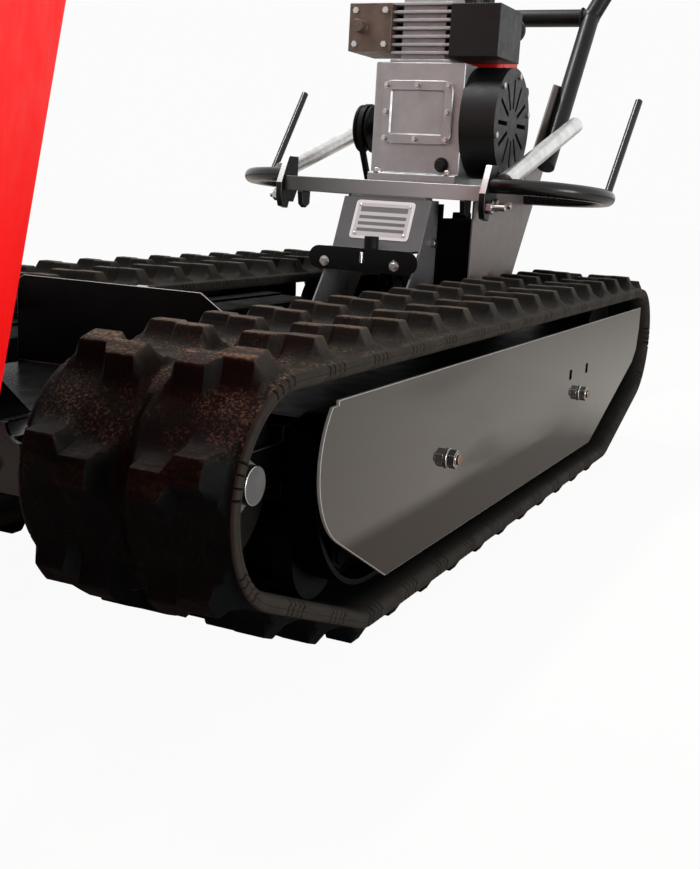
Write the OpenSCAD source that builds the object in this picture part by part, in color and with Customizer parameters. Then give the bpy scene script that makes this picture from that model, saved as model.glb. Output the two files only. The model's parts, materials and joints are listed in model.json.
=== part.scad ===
// Tracked power carrier with its bed tipped forward, in millimetres.
// The ground is z = 0, the front faces -Y, and y = 0 lies midway between idler and sprocket axles.

/* [Track] */
// Width of each rubber belt
track_w = 180; // [160:1:200]
// Thickness of a belt without its lugs
belt_t = 14; // [11:0.5:16]
// Height of a lug above its belt
lug_h = 19; // [14:0.5:22]
// Lugs round the loop in each of its two rows
lug_count = 35; // [28:1:38]
// Overall height of a loop over its lugs
track_h = 273; // [265:1:285]
// Distance between the centre lines of the two tracks
track_gauge = 440; // [430:1:480]
// Distance from idler axle to sprocket axle
wheel_base = 1120; // [1080:5:1200]
// Rim radius of an idler and of a sprocket
wheel_r = 72.6; // [70:0.2:75]
// Rim radius of a road roller
roller_r = 45; // [40:0.5:47]
// Distance of the first roller behind the idler axle
front_roller_set = 150; // [120:1:165]
// Distance of the last roller ahead of the sprocket axle
rear_roller_set = 160; // [150:1:180]
// Gap between the belt and the wheels inside it
run_gap = 0.4; // [0.3:0.05:1]
// Width of an idler and of a sprocket
wheel_w = 52; // [46:1:54]
// Width of a road roller
roller_w = 68; // [60:1:72]
// Width of the channel inside the belt where the sprocket teeth run
channel_w = 36; // [32:1:40]
// Depth of that channel
channel_d = 6; // [4:0.5:8]
// Teeth on a sprocket
tooth_count = 6; // [5:1:8]

/* [Lugs] */
// Width of a lug's crest across the belt
lug_crest_w = 54; // [46:1:58]
// Length of a lug's crest along the belt
lug_crest_l = 14; // [10:0.5:20]
// Length of a lug's foot along the belt
lug_foot_l = 46; // [40:1:48]
// Half of the step between the two halves of a lug
lug_jog = 5; // [2:0.5:7]
// Distance from the belt's centre line to a lug's crest
lug_inset = 18; // [15:0.5:20]
// Slope of a lug's ends, measured across the belt
lug_end_slope = 13; // [8:0.5:14]

/* [Track frame] */
// Outer width of the beam inside each track
beam_w = 80; // [78:1:84]
// Height of that beam
beam_h = 70; // [60:1:74]
// Height of the beam's lower face above the ground
beam_z = 132; // [130:1:136]
// Thickness of the frame's side plates
frame_plate_t = 6; // [4:0.5:8]
// Radius of the frame's lower front corner
frame_nose_r = 110; // [90:1:120]
// Width of the rim round the outer side plate
frame_rim_w = 24; // [18:1:26]
// Radius of the wheels' axles
axle_r = 15; // [13:0.5:17]
// Radius of the road rollers' axles
roller_axle_r = 10; // [8:0.5:12]
// Radial clearance of every running fit
fit = 0.05; // [0.02:0.01:0.1]

/* [Guard plate] */
// Thickness of a guard plate
guard_t = 3; // [2:0.5:4]
// Recess of a guard plate behind the belt's outer edge
guard_recess = 5; // [3:0.5:8]
// Height of its top edge above the ground
guard_top = 224; // [214:1:226]
// Height of its bottom edge above the ground
guard_bottom = 54; // [50:1:60]
// Radius of its rounded front edge
guard_nose_r = 74; // [68:0.5:76]
// Distance of each fixing stud from the middle
guard_stud_y = 242; // [220:1:260]
// Height of the fixing studs
guard_stud_z = 134; // [128:1:140]
// Radius of a fixing stud
guard_stud_r = 5; // [4:0.5:6]

/* [Centre frame] */
// Width and height of a main rail
rail_w = 40; // [30:1:44]
// Distance of a rail's middle from the centre line
rail_x = 95; // [92:1:96]
// Height of the rails' lower face
rail_z = 150; // [145:1:156]
// Width and height of the cross tubes under the rails
cross_h = 50; // [40:1:50]
// Wall of every square tube
tube_wall = 4; // [2:0.5:5]
// Thickness of folded sheet
sheet_t = 3; // [2:0.5:4]
// Height of the front plate's top edge above the deck
front_plate_rise = 10; // [6:0.5:14]
// Thickness of the front plate
front_plate_t = 4; // [3:0.5:6]
// Distance of a hinge bracket from the centre line
hinge_x = 66; // [60:1:80]
// Height of the bulkhead's top edge above the ground
bulkhead_top = 279; // [276:0.5:284]
// Distance of the bulkhead behind the idler axle
bulkhead_set = 211; // [200:1:230]

/* [Bed] */
// Angle by which the bed is tipped forward
tip_angle = 75.8; // [60:0.1:78]
// Height of the bed's floor when it is lowered
floor_z = 318; // [315:1:326]
// Height of the bed's hinge line
hinge_z = 228; // [226:1:232]
// Distance of the hinge line ahead of the idler axle
hinge_set = 59; // [56:1:64]
// Half width of the bed's floor
floor_half = 170; // [150:1:190]
// Half width of the bed at its rim
rim_half = 300; // [280:1:320]
// Height of the bed's walls
bed_h = 240; // [200:1:280]
// Distance of the floor's front edge ahead of the hinge line
floor_front = 71; // [66:1:90]
// Distance of the floor's rear edge behind the hinge line
floor_rear = 851; // [820:1:856]
// Reach of the front rim ahead of the floor
lip_reach = 130; // [100:1:150]
// Wall of the bed
bed_wall = 4; // [3:0.5:5]
// Radius of the bed's rim tube
rim_r = 9; // [7:0.5:11]
// Depth of the ribs under the floor
rib_h = 30; // [24:1:34]
// Radius of the hinge pins
hinge_r = 8; // [6:0.5:10]

/* [Pedestal] */
// Width of the pedestal
pedestal_w = 134; // [120:1:140]
// Height of the pedestal's top above the ground
pedestal_top = 370; // [364:1:371]
// Distance of the pedestal's top edge behind the middle
pedestal_y = 272; // [268:1:274]
// Height of the rest shelf's top above the ground
shelf_z = 301; // [298:1:302]
// Width of the rest shelf
shelf_w = 164; // [150:1:170]
// Radius of the rubber bumper
bumper_r = 10; // [8:0.5:11]
// Width of the bare data plate
data_w = 90; // [70:1:100]
// Height of the bare data plate
data_h = 58; // [50:1:66]

/* [Engine frame] */
// Thickness of the side panels
panel_t = 3; // [2:0.5:5]
// Gap between a side panel and the track beside it
panel_gap = 5; // [4:0.5:8]
// Height of the engine deck's top above the ground
deck_z = 392; // [390:1:394]
// Distance of the left panel's front edge behind the middle
left_panel_front = 405; // [395:1:430]
// Side of the square cross bar
bar_s = 21; // [18:0.5:22]
// Reach of the cross bar past the left panel
bar_reach = 40; // [25:1:50]
// Length of the cross bar beyond the right side panel
bar_jut = 13; // [10:1:18]
// Radius of the guard hoop's tube
hoop_r = 10.5; // [8:0.5:12]
// Half width of the guard hoop to the middle of its tube
hoop_half = 277; // [260:1:290]
// Depth of the guard hoop to the middle of its tube
hoop_depth = 230; // [220:1:240]
// Fall of the hoop from its front to its back
hoop_fall = 14; // [8:1:20]

/* [Drive] */
// Radius of the hole for a towing pin
tow_hole_r = 8; // [6:0.5:9]
// Thickness of the plate that holds it
tow_t = 10; // [8:0.5:14]

/* [Handlebars] */
// Radius of the handlebar tubes
bar_r = 14; // [12:0.5:15]
// Half width between the grips
grip_half = 230; // [210:1:250]
// Height of the grips above the ground
grip_z = 900; // [860:1:960]
// Distance of the grips' ends behind the middle
grip_end = 997; // [960:1:1030]
// Length of a grip
grip_l = 120; // [110:1:130]
// Wall of a grip
grip_wall = 4; // [3:0.5:6]

/* [Hidden] */
$fn = 48;

// Wheel places inside a loop
wheel_z = track_h - lug_h - belt_t - run_gap - wheel_r;
roller_z = lug_h + belt_t + run_gap + roller_r;
front_y = -wheel_base / 2;
rear_y = wheel_base / 2;
first_roller_y = front_y + front_roller_set;
last_roller_y = rear_y - rear_roller_set;
middle_roller_y = (first_roller_y + last_roller_y) / 2;

// The inside of the loop: first roller, last roller, sprocket, idler, each with centre and radius
loop = [[first_roller_y, roller_z, roller_r + run_gap], [last_roller_y, roller_z, roller_r + run_gap],
  [rear_y, wheel_z, wheel_r + run_gap], [front_y, wheel_z, wheel_r + run_gap]];
function after(i) = (i + 1) % 4;
function span(i) = [loop[after(i)][0] - loop[i][0], loop[after(i)][1] - loop[i][1]];
// Outward direction of the straight run that follows wheel i
function facing(i) = atan2(span(i)[1], span(i)[0]) - acos((loop[i][2] - loop[after(i)][2]) / norm(span(i)));
function touch(i, j, d) = [loop[j][0], loop[j][1]] + (loop[j][2] + d) * [cos(facing(i)), sin(facing(i))];
function straight(i) = norm(touch(i, after(i), 0) - touch(i, i, 0));
function turn(i) = (facing(after(i)) - facing(i) + 720) % 360;
function bend(i) = turn(i) * PI / 180 * (loop[after(i)][2] + belt_t / 2);
loop_length = straight(0) + bend(0) + straight(1) + bend(1) + straight(2) + bend(2) + straight(3) + bend(3);
lug_pitch = loop_length / lug_count;
// Distance along the loop from the first roller to the start of the upper run
upper_start = straight(0) + bend(0) + straight(1) + bend(1);
// Distance of the first lug's middle ahead of the sprocket axle on the upper run
lug_phase = 42;
// Place on the inside of the loop, as y, z and outward direction, at a distance s along it
function on_line(i, s) = let (p = touch(i, i, 0) + s * [-sin(facing(i)), cos(facing(i))])
  [p[0], p[1], facing(i)];
function on_bend(i, s) = let (a = facing(i) + turn(i) * s / bend(i), w = loop[after(i)])
  [w[0] + w[2] * cos(a), w[1] + w[2] * sin(a), a];
function place(s, i = 0) = s < straight(i) ? on_line(i, s)
  : s < straight(i) + bend(i) ? on_bend(i, s - straight(i))
  : place(s - straight(i) - bend(i), after(i));

// Depth to which a lug's foot is rooted in the belt
lug_root = 5;
// Half of the slanted stretch between the two halves of a lug
lug_step = 4;

// Track frame
beam_half = beam_w / 2;
frame_half = beam_half + frame_plate_t;
frame_front = front_y + 70;
frame_back = rear_y - 110;
frame_top = beam_z + beam_h + 3;
frame_foot = lug_h + belt_t + 15;
frame_top_r = 40;
frame_heel = 42;
rim_wall = 4;
// Inner wall of the beam, where the idler fork is held
beam_wall = 5;
fork_gap = 0.3;
fork_arm_t = 6;
fork_stem = 110;
fork_half = beam_half - beam_wall - fork_gap;
nut_h = 10;
guard_out = track_w / 2 - guard_recess;
guard_in = guard_out - guard_t;
guard_nose_y = front_y + 119;
guard_nose_z = 173;
guard_toe_y = front_y + 183;
spacer_r = 9;

// Centre frame, in the gap between the tracks
gap_half = track_gauge / 2 - track_w / 2;
frame_inside = track_gauge / 2 - frame_half;
rail_top = rail_z + rail_w;
deck_top = rail_top + sheet_t;
rail_out = rail_x + rail_w / 2;
front_end = front_y - 70;
rail_end = rear_y - 60;
bulkhead_y = front_y + bulkhead_set;
cross_places = [first_roller_y + 125, last_roller_y - 140];
panel_out = gap_half - panel_gap;
panel_in = panel_out - panel_t;
bracket_in = hinge_x;
bracket_t = 8;
ear_t = 10;
hinge_gap = 4;
ear_out = bracket_in - hinge_gap;
hinge_y = front_y - hinge_set;
hinge_eye_r = hinge_r + 10;

// Bed, written as it lies when lowered
bed_front = hinge_y - floor_front;
bed_back = hinge_y + floor_rear;
striker_y = bulkhead_y + 50;
striker_z = floor_z - 66;
striker_r = 5;
latch_y = bulkhead_y + 20;
latch_z = deck_top + 30;
latch_pin_r = 4;
latch_t = 12;
// Angle by which the latch stands back from its catch
latch_open = 22;

// Pedestal face, sloping back towards its top
face_run = 31;
face_foot_y = pedestal_y - face_run;
face_angle = atan2(pedestal_top - shelf_z, face_run);
pedestal_back = pedestal_y + 28;
pedestal_front = pedestal_y - 122;
pad_gap = 0.2;
shelf_front = face_foot_y - 29;
bumper_y = shelf_front + sheet_t + bumper_r + 1;
bumper_stem_r = 4;
shelf_x = -7;
shelf_h = 32;
bar_z = deck_z - bar_s + 2;
panel_front = pedestal_back - 15;
mast_foot = rear_y - 138;
mast_top_z = 560;
mast_top_y = rear_y + 138;
mast_w = 78;
bracket_plate_t = 9;
bar_left = panel_out + bar_reach;
bar_right = panel_out + bar_jut;
// Left and right bracket: side, inner face, reach of the studs in it, space beside the stay's foot
bracket_sides = [[-1, bar_left, 14, 1.2], [1, bar_right, 26, 0.2]];
bar_back = pedestal_y + bar_s + pad_gap;
hoop_front = pedestal_y + 12;
hoop_z = deck_z + 3;
stay_foot_z = hoop_z + 5;
stay_r = 12.5;

// Drive
input_y = rear_y - 15;
input_z = wheel_z + 78;
input_r = 10;
box_half = 70;
pulley_x = -94;
pulley_w = 22;
small_pulley_r = 35;
large_pulley_r = 45;
crank_y = pedestal_y + 128;
crank_z = deck_z + 78;
belt_h = 9;
belt_gap = 0.4;
groove_d = 10;

// Engine
case_left = -58;
case_right = 82;
case_front = crank_y - 85;
case_back = crank_y + 75;
case_top = 560;
fan_r = 78;
fan_y = crank_y - 8;
fan_z = deck_z + 90;
fan_out = panel_out + 9;
cord_r = 2;
cord_rise = 50;
recoil_l = 44;
case_gap = 4;
cord_x = mid(case_right, fan_out);
tank_low = [-40, crank_y + 28, case_top];
tank_size = [140, 84, 96];
neck = tank_low + [tank_size[0] / 2, tank_size[1] / 2, tank_size[2] - 1];
neck_r = 18;

// Handlebar route on one side, from mast to grip
tube_x = panel_out + bar_r + 0.2;
bar_start = [tube_x, rear_y, 430];
bar_knee = [tube_x, rear_y + 185, 678];
bar_bend = [grip_half, grip_end - 159, grip_z];
lever_pin_r = 4;
lever_y = grip_end - grip_l - 12;
lever_drop = 44;
lever_w = 14;
tow_half = 20;
tow_y = rear_y + 104;
tow_z = wheel_z - 20;
gear_y = rear_y + 40;
gear_z = wheel_z + 118;
gear_x = 40;
gear_rise = 360;
gear_lean = 46;

function mid(a, b) = (a + b) / 2;

// Shared shapes

// Extrudes an outline drawn as y, z from x0 to x1
module along_x(x0, x1) {
  translate([x0, 0, 0]) rotate([90, 0, 90]) linear_extrude(x1 - x0) children();
}
module rod_x(x0, x1, r) {
  translate([x0, 0, 0]) rotate([0, 90, 0]) cylinder(h = x1 - x0, r = r);
}
module hex_x(x0, x1, r) {
  translate([x0, 0, 0]) rotate([0, 90, 0]) cylinder(h = x1 - x0, r = r, $fn = 6);
}
module box(low, high) {
  translate(low) cube(high - low);
}
// Round bar between two points
module bar(a, b, r) {
  d = b - a;
  translate(a) rotate([0, acos(d[2] / norm(d)), atan2(d[1], d[0])]) cylinder(h = norm(d), r = r);
}
module ball(p, r) {
  translate(p) sphere(r = r);
}
module square_tube(low, high, wall, ends) {
  difference() {
    box(low, high);
    box(low + wall * (([1, 1, 1] - ends)) - ends, high - wall * ([1, 1, 1] - ends) + ends);
  }
}
// Puts a right-hand piece drawn about its track's centre line on either side
module beside(side) {
  translate([side * track_gauge / 2, 0, 0]) mirror([side < 0 ? 1 : 0, 0, 0]) children();
}
module both_sides() {
  children();
  mirror([1, 0, 0]) children();
}
module at_wheel(y, z) {
  translate([0, y, z]) children();
}

// Tracks

module loop_shape(d) {
  for (w = loop) translate([w[0], w[1]]) circle(r = w[2] + d, $fn = 96);
  polygon([for (i = [0:3]) each [touch(i, i, d), touch(i, after(i), d)]]);
}
function lug_outline(x0, x1, half, z) = let (m = lug_inset + lug_crest_w / 2)
  [[x0, -lug_jog - half, z], [m - lug_step, -lug_jog - half, z], [m + lug_step, lug_jog - half, z],
   [x1, lug_jog - half, z], [x1, lug_jog + half, z], [m + lug_step, lug_jog + half, z],
   [m - lug_step, -lug_jog + half, z], [x0, -lug_jog + half, z]];
module lug() {
  outer = lug_inset + lug_crest_w;
  foot = lug_outline(lug_inset - lug_end_slope, outer + lug_end_slope, lug_foot_l / 2, -lug_root);
  crest = lug_outline(lug_inset, outer, lug_crest_l / 2, lug_h);
  polyhedron(concat(foot, crest), concat([[0, 1, 2, 3, 4, 5, 6, 7]], [[15, 14, 13, 12, 11, 10, 9, 8]],
    [for (i = [0:7]) [i, i + 8, (i + 1) % 8 + 8, (i + 1) % 8]]));
}
module track(side) {
  color([0.09, 0.08, 0.075]) beside(side) {
    difference() {
      along_x(-track_w / 2, track_w / 2) loop_shape(belt_t);
      along_x(-track_w / 2 - 1, track_w / 2 + 1) loop_shape(0);
      along_x(-channel_w / 2, channel_w / 2) loop_shape(channel_d);
    }
    for (k = [0:lug_count - 1]) {
      p = place(upper_start + lug_phase + k * lug_pitch);
      translate([0, p[0], p[1]]) rotate([p[2] - 90, 0, 0]) translate([0, 0, belt_t]) both_sides() lug();
    }
  }
}

// Wheels inside the tracks

module rimmed_wheel(r, w, bore, groove_w, groove_r) {
  rotate([0, 90, 0]) difference() {
    cylinder(h = w, r = r, center = true, $fn = 96);
    difference() {
      cylinder(h = groove_w, r = r + 1, center = true);
      cylinder(h = groove_w + 1, r = groove_r, center = true);
    }
    cylinder(h = w + 2, r = bore, center = true);
  }
}
module roller(side, y) {
  color([0.2, 0.2, 0.21]) beside(side) at_wheel(y, roller_z)
    rimmed_wheel(roller_r, roller_w, roller_axle_r + fit, channel_w - 8, roller_r - 9);
}
module idler(side) {
  color([0.2, 0.2, 0.21]) beside(side) at_wheel(front_y, wheel_z)
    rimmed_wheel(wheel_r, wheel_w, axle_r + fit, channel_w - 8, wheel_r - 12);
}
module sprocket(side) {
  tooth_reach = wheel_r + channel_d - 0.4;
  tooth_w = channel_w - 8;
  color([0.2, 0.2, 0.21]) beside(side) at_wheel(rear_y, wheel_z) difference() {
    union() {
      rimmed_wheel(wheel_r, wheel_w, axle_r + fit, tooth_w, wheel_r - 12);
      intersection() {
        for (k = [0:tooth_count - 1]) rotate([k * 360 / tooth_count, 0, 0])
          box([-tooth_w / 2, -10, axle_r + 5], [tooth_w / 2, 10, tooth_reach + 5]);
        rod_x(-tooth_w, tooth_w, tooth_reach);
      }
    }
    rod_x(-wheel_w, wheel_w, axle_r + fit);
  }
}
module drive_shaft(side) {
  inner = box_half - 12 - track_gauge / 2;
  color("silver") beside(side) at_wheel(rear_y, wheel_z) {
    rod_x(inner, wheel_w / 2 + nut_h + 4, axle_r);
    hex_x(wheel_w / 2, wheel_w / 2 + nut_h, axle_r + 7);
  }
}
module wheel_axles() {
  color("gainsboro") for (side = [-1, 1]) beside(side) {
    at_wheel(front_y, wheel_z) {
      rod_x(-fork_half - nut_h - 4, fork_half + nut_h + 11, axle_r);
      hex_x(fork_half, fork_half + nut_h, axle_r + 7);
      hex_x(-fork_half - nut_h, -fork_half, axle_r + 7);
    }
    for (y = [first_roller_y, middle_roller_y, last_roller_y]) at_wheel(y, roller_z) {
      rod_x(-frame_half - nut_h - 3, frame_half + nut_h + 3, roller_axle_r);
      hex_x(frame_half, frame_half + nut_h, roller_axle_r + 6);
      hex_x(-frame_half - nut_h, -frame_half, roller_axle_r + 6);
    }
  }
}

// Track frames

module frame_shape(inset) {
  low = [frame_front + inset, frame_foot + inset];
  high = [frame_back - inset, frame_top - inset];
  nose = [frame_front + frame_nose_r, frame_foot + frame_nose_r];
  brow = [frame_front + frame_top_r, frame_top - frame_top_r];
  intersection() {
    translate(nose) circle(r = frame_nose_r - inset);
    translate(low) square(nose - low);
  }
  translate(brow) circle(r = frame_top_r - inset);
  polygon([[nose[0], low[1]], [high[0] - frame_heel, low[1]], [high[0], low[1] + frame_heel], high,
    [brow[0], high[1]], brow, [low[0], brow[1]], [low[0], nose[1]], nose]);
}
module track_frame(side) {
  color([0.13, 0.13, 0.135]) beside(side) difference() {
    union() {
      square_tube([-beam_half, frame_front + 20, beam_z], [beam_half, frame_back, beam_z + beam_h],
        beam_wall, [0, 1, 0]);
      for (x = [-frame_half, beam_half]) along_x(x, x + frame_plate_t) frame_shape(0);
      along_x(beam_half, frame_half + frame_rim_w) difference() {
        frame_shape(0);
        frame_shape(rim_wall);
      }
    }
    for (y = [first_roller_y, middle_roller_y, last_roller_y]) at_wheel(y, roller_z)
      rod_x(-track_w, track_w, roller_axle_r + 0.2);
    for (y = [-guard_stud_y, guard_stud_y]) at_wheel(y, guard_stud_z)
      rod_x(beam_half - beam_wall - 1, track_w, guard_stud_r + 0.2);
  }
}
module idler_forks() {
  stem_low = [-fork_half, frame_front + 8, beam_z + beam_wall + fork_gap];
  stem_high = [fork_half, frame_front + fork_stem, beam_z + beam_h - beam_wall - fork_gap];
  color([0.16, 0.16, 0.165]) for (side = [-1, 1]) beside(side) difference() {
    union() {
      box(stem_low, stem_high);
      for (x = [-fork_half, fork_half - fork_arm_t]) {
        box([x, front_y, wheel_z - 17], [x + fork_arm_t, frame_front + 9, wheel_z + 17]);
        at_wheel(front_y, wheel_z) rod_x(x, x + fork_arm_t, axle_r + 11);
      }
    }
    at_wheel(front_y, wheel_z) rod_x(-track_w, track_w, axle_r + 0.2);
  }
}

// Guard plates and their studs

module guard_shape() {
  step_w = 10;
  step_h = 4;
  nose = [guard_nose_y, guard_nose_z];
  brow_z = guard_top - step_h;
  shoulder = guard_nose_y - sqrt(guard_nose_r * guard_nose_r - pow(brow_z - guard_nose_z, 2));
  toe = [guard_toe_y, guard_bottom];
  // The chin runs tangent from the round front to the toe
  chin_a = atan2(toe[1] - nose[1], toe[0] - nose[0]) - acos(guard_nose_r / norm(toe - nose));
  chin = nose + guard_nose_r * [cos(chin_a), sin(chin_a)];
  heel = [last_roller_y - 75, guard_bottom];
  tail = rear_y + 22;
  intersection() {
    translate(nose) circle(r = guard_nose_r, $fn = 96);
    translate([guard_nose_y - guard_nose_r, guard_bottom]) square([2 * guard_nose_r, brow_z - guard_bottom]);
  }
  polygon([nose, chin, toe, heel, [rear_y - 5, guard_bottom + 88], [tail - 7, guard_bottom + 106],
    [tail, guard_bottom + 138], [tail - 2, guard_top], [shoulder + step_w, guard_top],
    [shoulder + step_w, brow_z], [shoulder, brow_z]]);
}
module guard_plate(side) {
  slot_w = 11;
  slot_h = 12;
  color([0.3, 0.285, 0.28]) beside(side) along_x(guard_in, guard_out) difference() {
    guard_shape();
    for (y = [-guard_stud_y, guard_stud_y]) translate([y, guard_stud_z]) circle(r = guard_stud_r + 0.3);
    for (y = [-51, 29]) translate([guard_stud_y + y, guard_stud_z + 30])
      square([slot_w, slot_h], center = true);
  }
}
module guard_bolts() {
  color("gainsboro") for (side = [-1, 1]) beside(side) for (y = [-guard_stud_y, guard_stud_y])
    at_wheel(y, guard_stud_z) {
      difference() {
        rod_x(frame_half, guard_in, spacer_r);
        rod_x(frame_half - 1, guard_in + 1, guard_stud_r + 0.2);
      }
      rod_x(beam_half - beam_wall, guard_out + 13, guard_stud_r);
      rod_x(guard_out, guard_out + 2, spacer_r + 1);
      hex_x(guard_out + 2, guard_out + 10, guard_stud_r + 4.4);
    }
}

// Centre frame

module cross_tubes() {
  color([0.13, 0.13, 0.135]) for (y = cross_places)
    square_tube([-frame_inside, y - cross_h / 2, rail_z - cross_h], [frame_inside, y + cross_h / 2, rail_z],
      tube_wall, [1, 0, 0]);
}
module main_rails() {
  color([0.13, 0.13, 0.135]) both_sides()
    square_tube([rail_x - rail_w / 2, front_end, rail_z], [rail_out, rail_end, rail_top], tube_wall, [0, 1, 0]);
}
module front_frame() {
  notch_r = 14;
  plate_half = gap_half - 8;
  plate_top = deck_top + front_plate_rise;
  color([0.2, 0.195, 0.195]) difference() {
    union() {
      box([-rail_out, front_end, rail_top], [rail_out, bulkhead_y + sheet_t, deck_top]);
      box([-plate_half, front_end - front_plate_t, rail_z], [plate_half, front_end, plate_top]);
      both_sides() along_x(bracket_in, bracket_in + bracket_t) {
        translate([hinge_y, hinge_z]) circle(r = hinge_eye_r);
        polygon([[front_end, deck_top - 1], [front_end + 70, deck_top - 1],
          [hinge_y + hinge_eye_r, hinge_z], [hinge_y, hinge_z]]);
      }
    }
    both_sides() translate([plate_half, front_end + 1, plate_top]) rotate([90, 0, 0])
      cylinder(h = front_plate_t + 2, r = notch_r);
    at_wheel(hinge_y, hinge_z) rod_x(-rail_out, rail_out, hinge_r + fit);
  }
}
module bulkhead() {
  half = gap_half - 4;
  right_cut = [36, 23];
  left_cut = [8, 5];
  color([0.1, 0.1, 0.105]) {
    translate([0, bulkhead_y + sheet_t, 0]) rotate([90, 0, 0]) linear_extrude(sheet_t)
      polygon([[-half, deck_top], [half, deck_top], [half, bulkhead_top - right_cut[1]],
        [half - right_cut[0], bulkhead_top], [left_cut[0] - half, bulkhead_top],
        [-half, bulkhead_top - left_cut[1]]]);
    both_sides() box([latch_t / 2 + 1, bulkhead_y + sheet_t, latch_z - 12],
      [latch_t / 2 + 6, latch_y + 12, latch_z + 12]);
    at_wheel(latch_y, latch_z) rod_x(-latch_t / 2 - 2, latch_t / 2 + 2, latch_pin_r);
  }
}
module hinge_pins() {
  color("gainsboro") both_sides() at_wheel(hinge_y, hinge_z) {
    rod_x(ear_out - ear_t - 6, bracket_in + bracket_t + 5, hinge_r);
    rod_x(bracket_in + bracket_t, bracket_in + bracket_t + 5, hinge_r + 5);
  }
}

// Bed

module tipped() {
  translate([0, hinge_y, hinge_z]) rotate([tip_angle, 0, 0]) translate([0, -hinge_y, -hinge_z]) children();
}
// Walls leaning from a floor outline to a rim outline, each given as half width, front and back
module tub_solid(floor_edge, z0, rim_edge, z1) {
  function ring(e, z) = [[-e[0], e[1], z], [e[0], e[1], z], [e[0], e[2], z], [-e[0], e[2], z]];
  polyhedron(concat(ring(floor_edge, z0), ring(rim_edge, z1)),
    concat([[0, 1, 2, 3]], [[7, 6, 5, 4]], [for (i = [0:3]) [i, i + 4, (i + 1) % 4 + 4, (i + 1) % 4]]));
}
module bed_tub() {
  rim_z = floor_z + bed_h;
  rear_lean = 6;
  floor_edge = [floor_half, bed_front, bed_back - rear_lean];
  rim_edge = [rim_half, bed_front - lip_reach, bed_back];
  inset = [bed_wall, -bed_wall, bed_wall];
  corners = [[-rim_edge[0], rim_edge[1], rim_z], [rim_edge[0], rim_edge[1], rim_z],
    [rim_edge[0], rim_edge[2], rim_z], [-rim_edge[0], rim_edge[2], rim_z]];
  color([0.86, 0.05, 0.05]) tipped() difference() {
    union() {
      tub_solid(floor_edge, floor_z, rim_edge, rim_z);
      for (i = [0:3]) {
        bar(corners[i], corners[(i + 1) % 4], rim_r);
        ball(corners[i], rim_r);
      }
    }
    tub_solid(floor_edge - inset, floor_z + bed_wall, rim_edge - inset, rim_z + bed_wall);
    tub_solid(rim_edge - inset, rim_z, rim_edge - inset, rim_z + rim_r + 1);
  }
}
module bed_ribs() {
  rib_w = 12;
  rib_in = ear_out - ear_t;
  color([0.12, 0.12, 0.125]) tipped() difference() {
    union() {
      both_sides() {
        box([rib_in, bed_front + 20, floor_z - rib_h], [rib_in + rib_w, bed_back - 60, floor_z]);
        along_x(rib_in, ear_out) {
          translate([hinge_y, hinge_z]) circle(r = hinge_eye_r);
          polygon([[hinge_y - hinge_eye_r, hinge_z], [hinge_y + hinge_eye_r, hinge_z],
            [hinge_y + 34, floor_z - rib_h], [hinge_y - 34, floor_z - rib_h]]);
        }
        box([15, striker_y - 5, striker_z - striker_r], [21, striker_y + 5, floor_z]);
      }
      box([-rib_in, striker_y - 15, floor_z - rib_h + 10], [rib_in, striker_y + 15, floor_z]);
      at_wheel(striker_y, striker_z) rod_x(-21, 21, striker_r);
    }
    at_wheel(hinge_y, hinge_z) rod_x(-gap_half, gap_half, hinge_r + fit);
  }
}
module bed_latch() {
  reach = striker_z + striker_r - latch_z + 2;
  throw = striker_y - latch_y;
  color([0.6, 0.6, 0.58]) translate([0, latch_y, latch_z]) rotate([latch_open, 0, 0]) difference() {
    along_x(-latch_t / 2, latch_t / 2) {
      circle(r = 11);
      polygon([[-11, 0], [11, 0], [throw - 13, reach - 14], [throw - 13, reach], [throw + 6, reach - 1],
        [throw + 6, reach + 7], [throw - 22, reach + 12]]);
    }
    rod_x(-latch_t, latch_t, latch_pin_r + fit);
  }
}

// Pedestal with the bed's rest

module pedestal() {
  half = pedestal_w / 2;
  color([0.24, 0.23, 0.23]) {
    box([-panel_in, pedestal_front, rail_top], [panel_in, pedestal_back, deck_top]);
    both_sides() along_x(half - sheet_t, half) polygon([[pedestal_front + 10, deck_top],
      [pedestal_front + 45, shelf_z - 62], [face_foot_y, shelf_z], [pedestal_y, pedestal_top],
      [pedestal_back, pedestal_top], [pedestal_back, deck_top]]);
    along_x(-half, half) polygon([[face_foot_y, shelf_z], [pedestal_y, pedestal_top],
      [pedestal_back, pedestal_top], [pedestal_back, pedestal_top - sheet_t],
      [pedestal_y + 2, pedestal_top - sheet_t], [face_foot_y + sheet_t, shelf_z]]);
    box([-half + 10, pedestal_y, pedestal_top - 1], [half - 10, pedestal_back, bar_z]);
  }
}
module rest_shelf() {
  end_r = shelf_h / 2;
  color([0.06, 0.06, 0.065]) difference() {
    union() {
      translate([shelf_x, shelf_front + sheet_t, shelf_z - end_r]) rotate([90, 0, 0]) linear_extrude(sheet_t) {
        for (x = [-1, 1]) translate([x * (shelf_w / 2 - end_r), 0]) circle(r = end_r);
        square([shelf_w - 2 * end_r, shelf_h], center = true);
      }
      box([-pedestal_w / 2 + sheet_t + pad_gap, shelf_front + sheet_t - 1, shelf_z - sheet_t],
        [pedestal_w / 2 - sheet_t - pad_gap, face_foot_y + 12, shelf_z]);
    }
    translate([0, bumper_y, shelf_z - 20]) cylinder(h = 40, r = bumper_stem_r + pad_gap);
  }
}
module rest_bumper() {
  color([0.05, 0.05, 0.05]) translate([0, bumper_y, shelf_z]) {
    cylinder(h = floor_z - shelf_z - 0.6, r = bumper_r);
    translate([0, 0, -22]) cylinder(h = 23, r = bumper_stem_r);
  }
}
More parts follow.
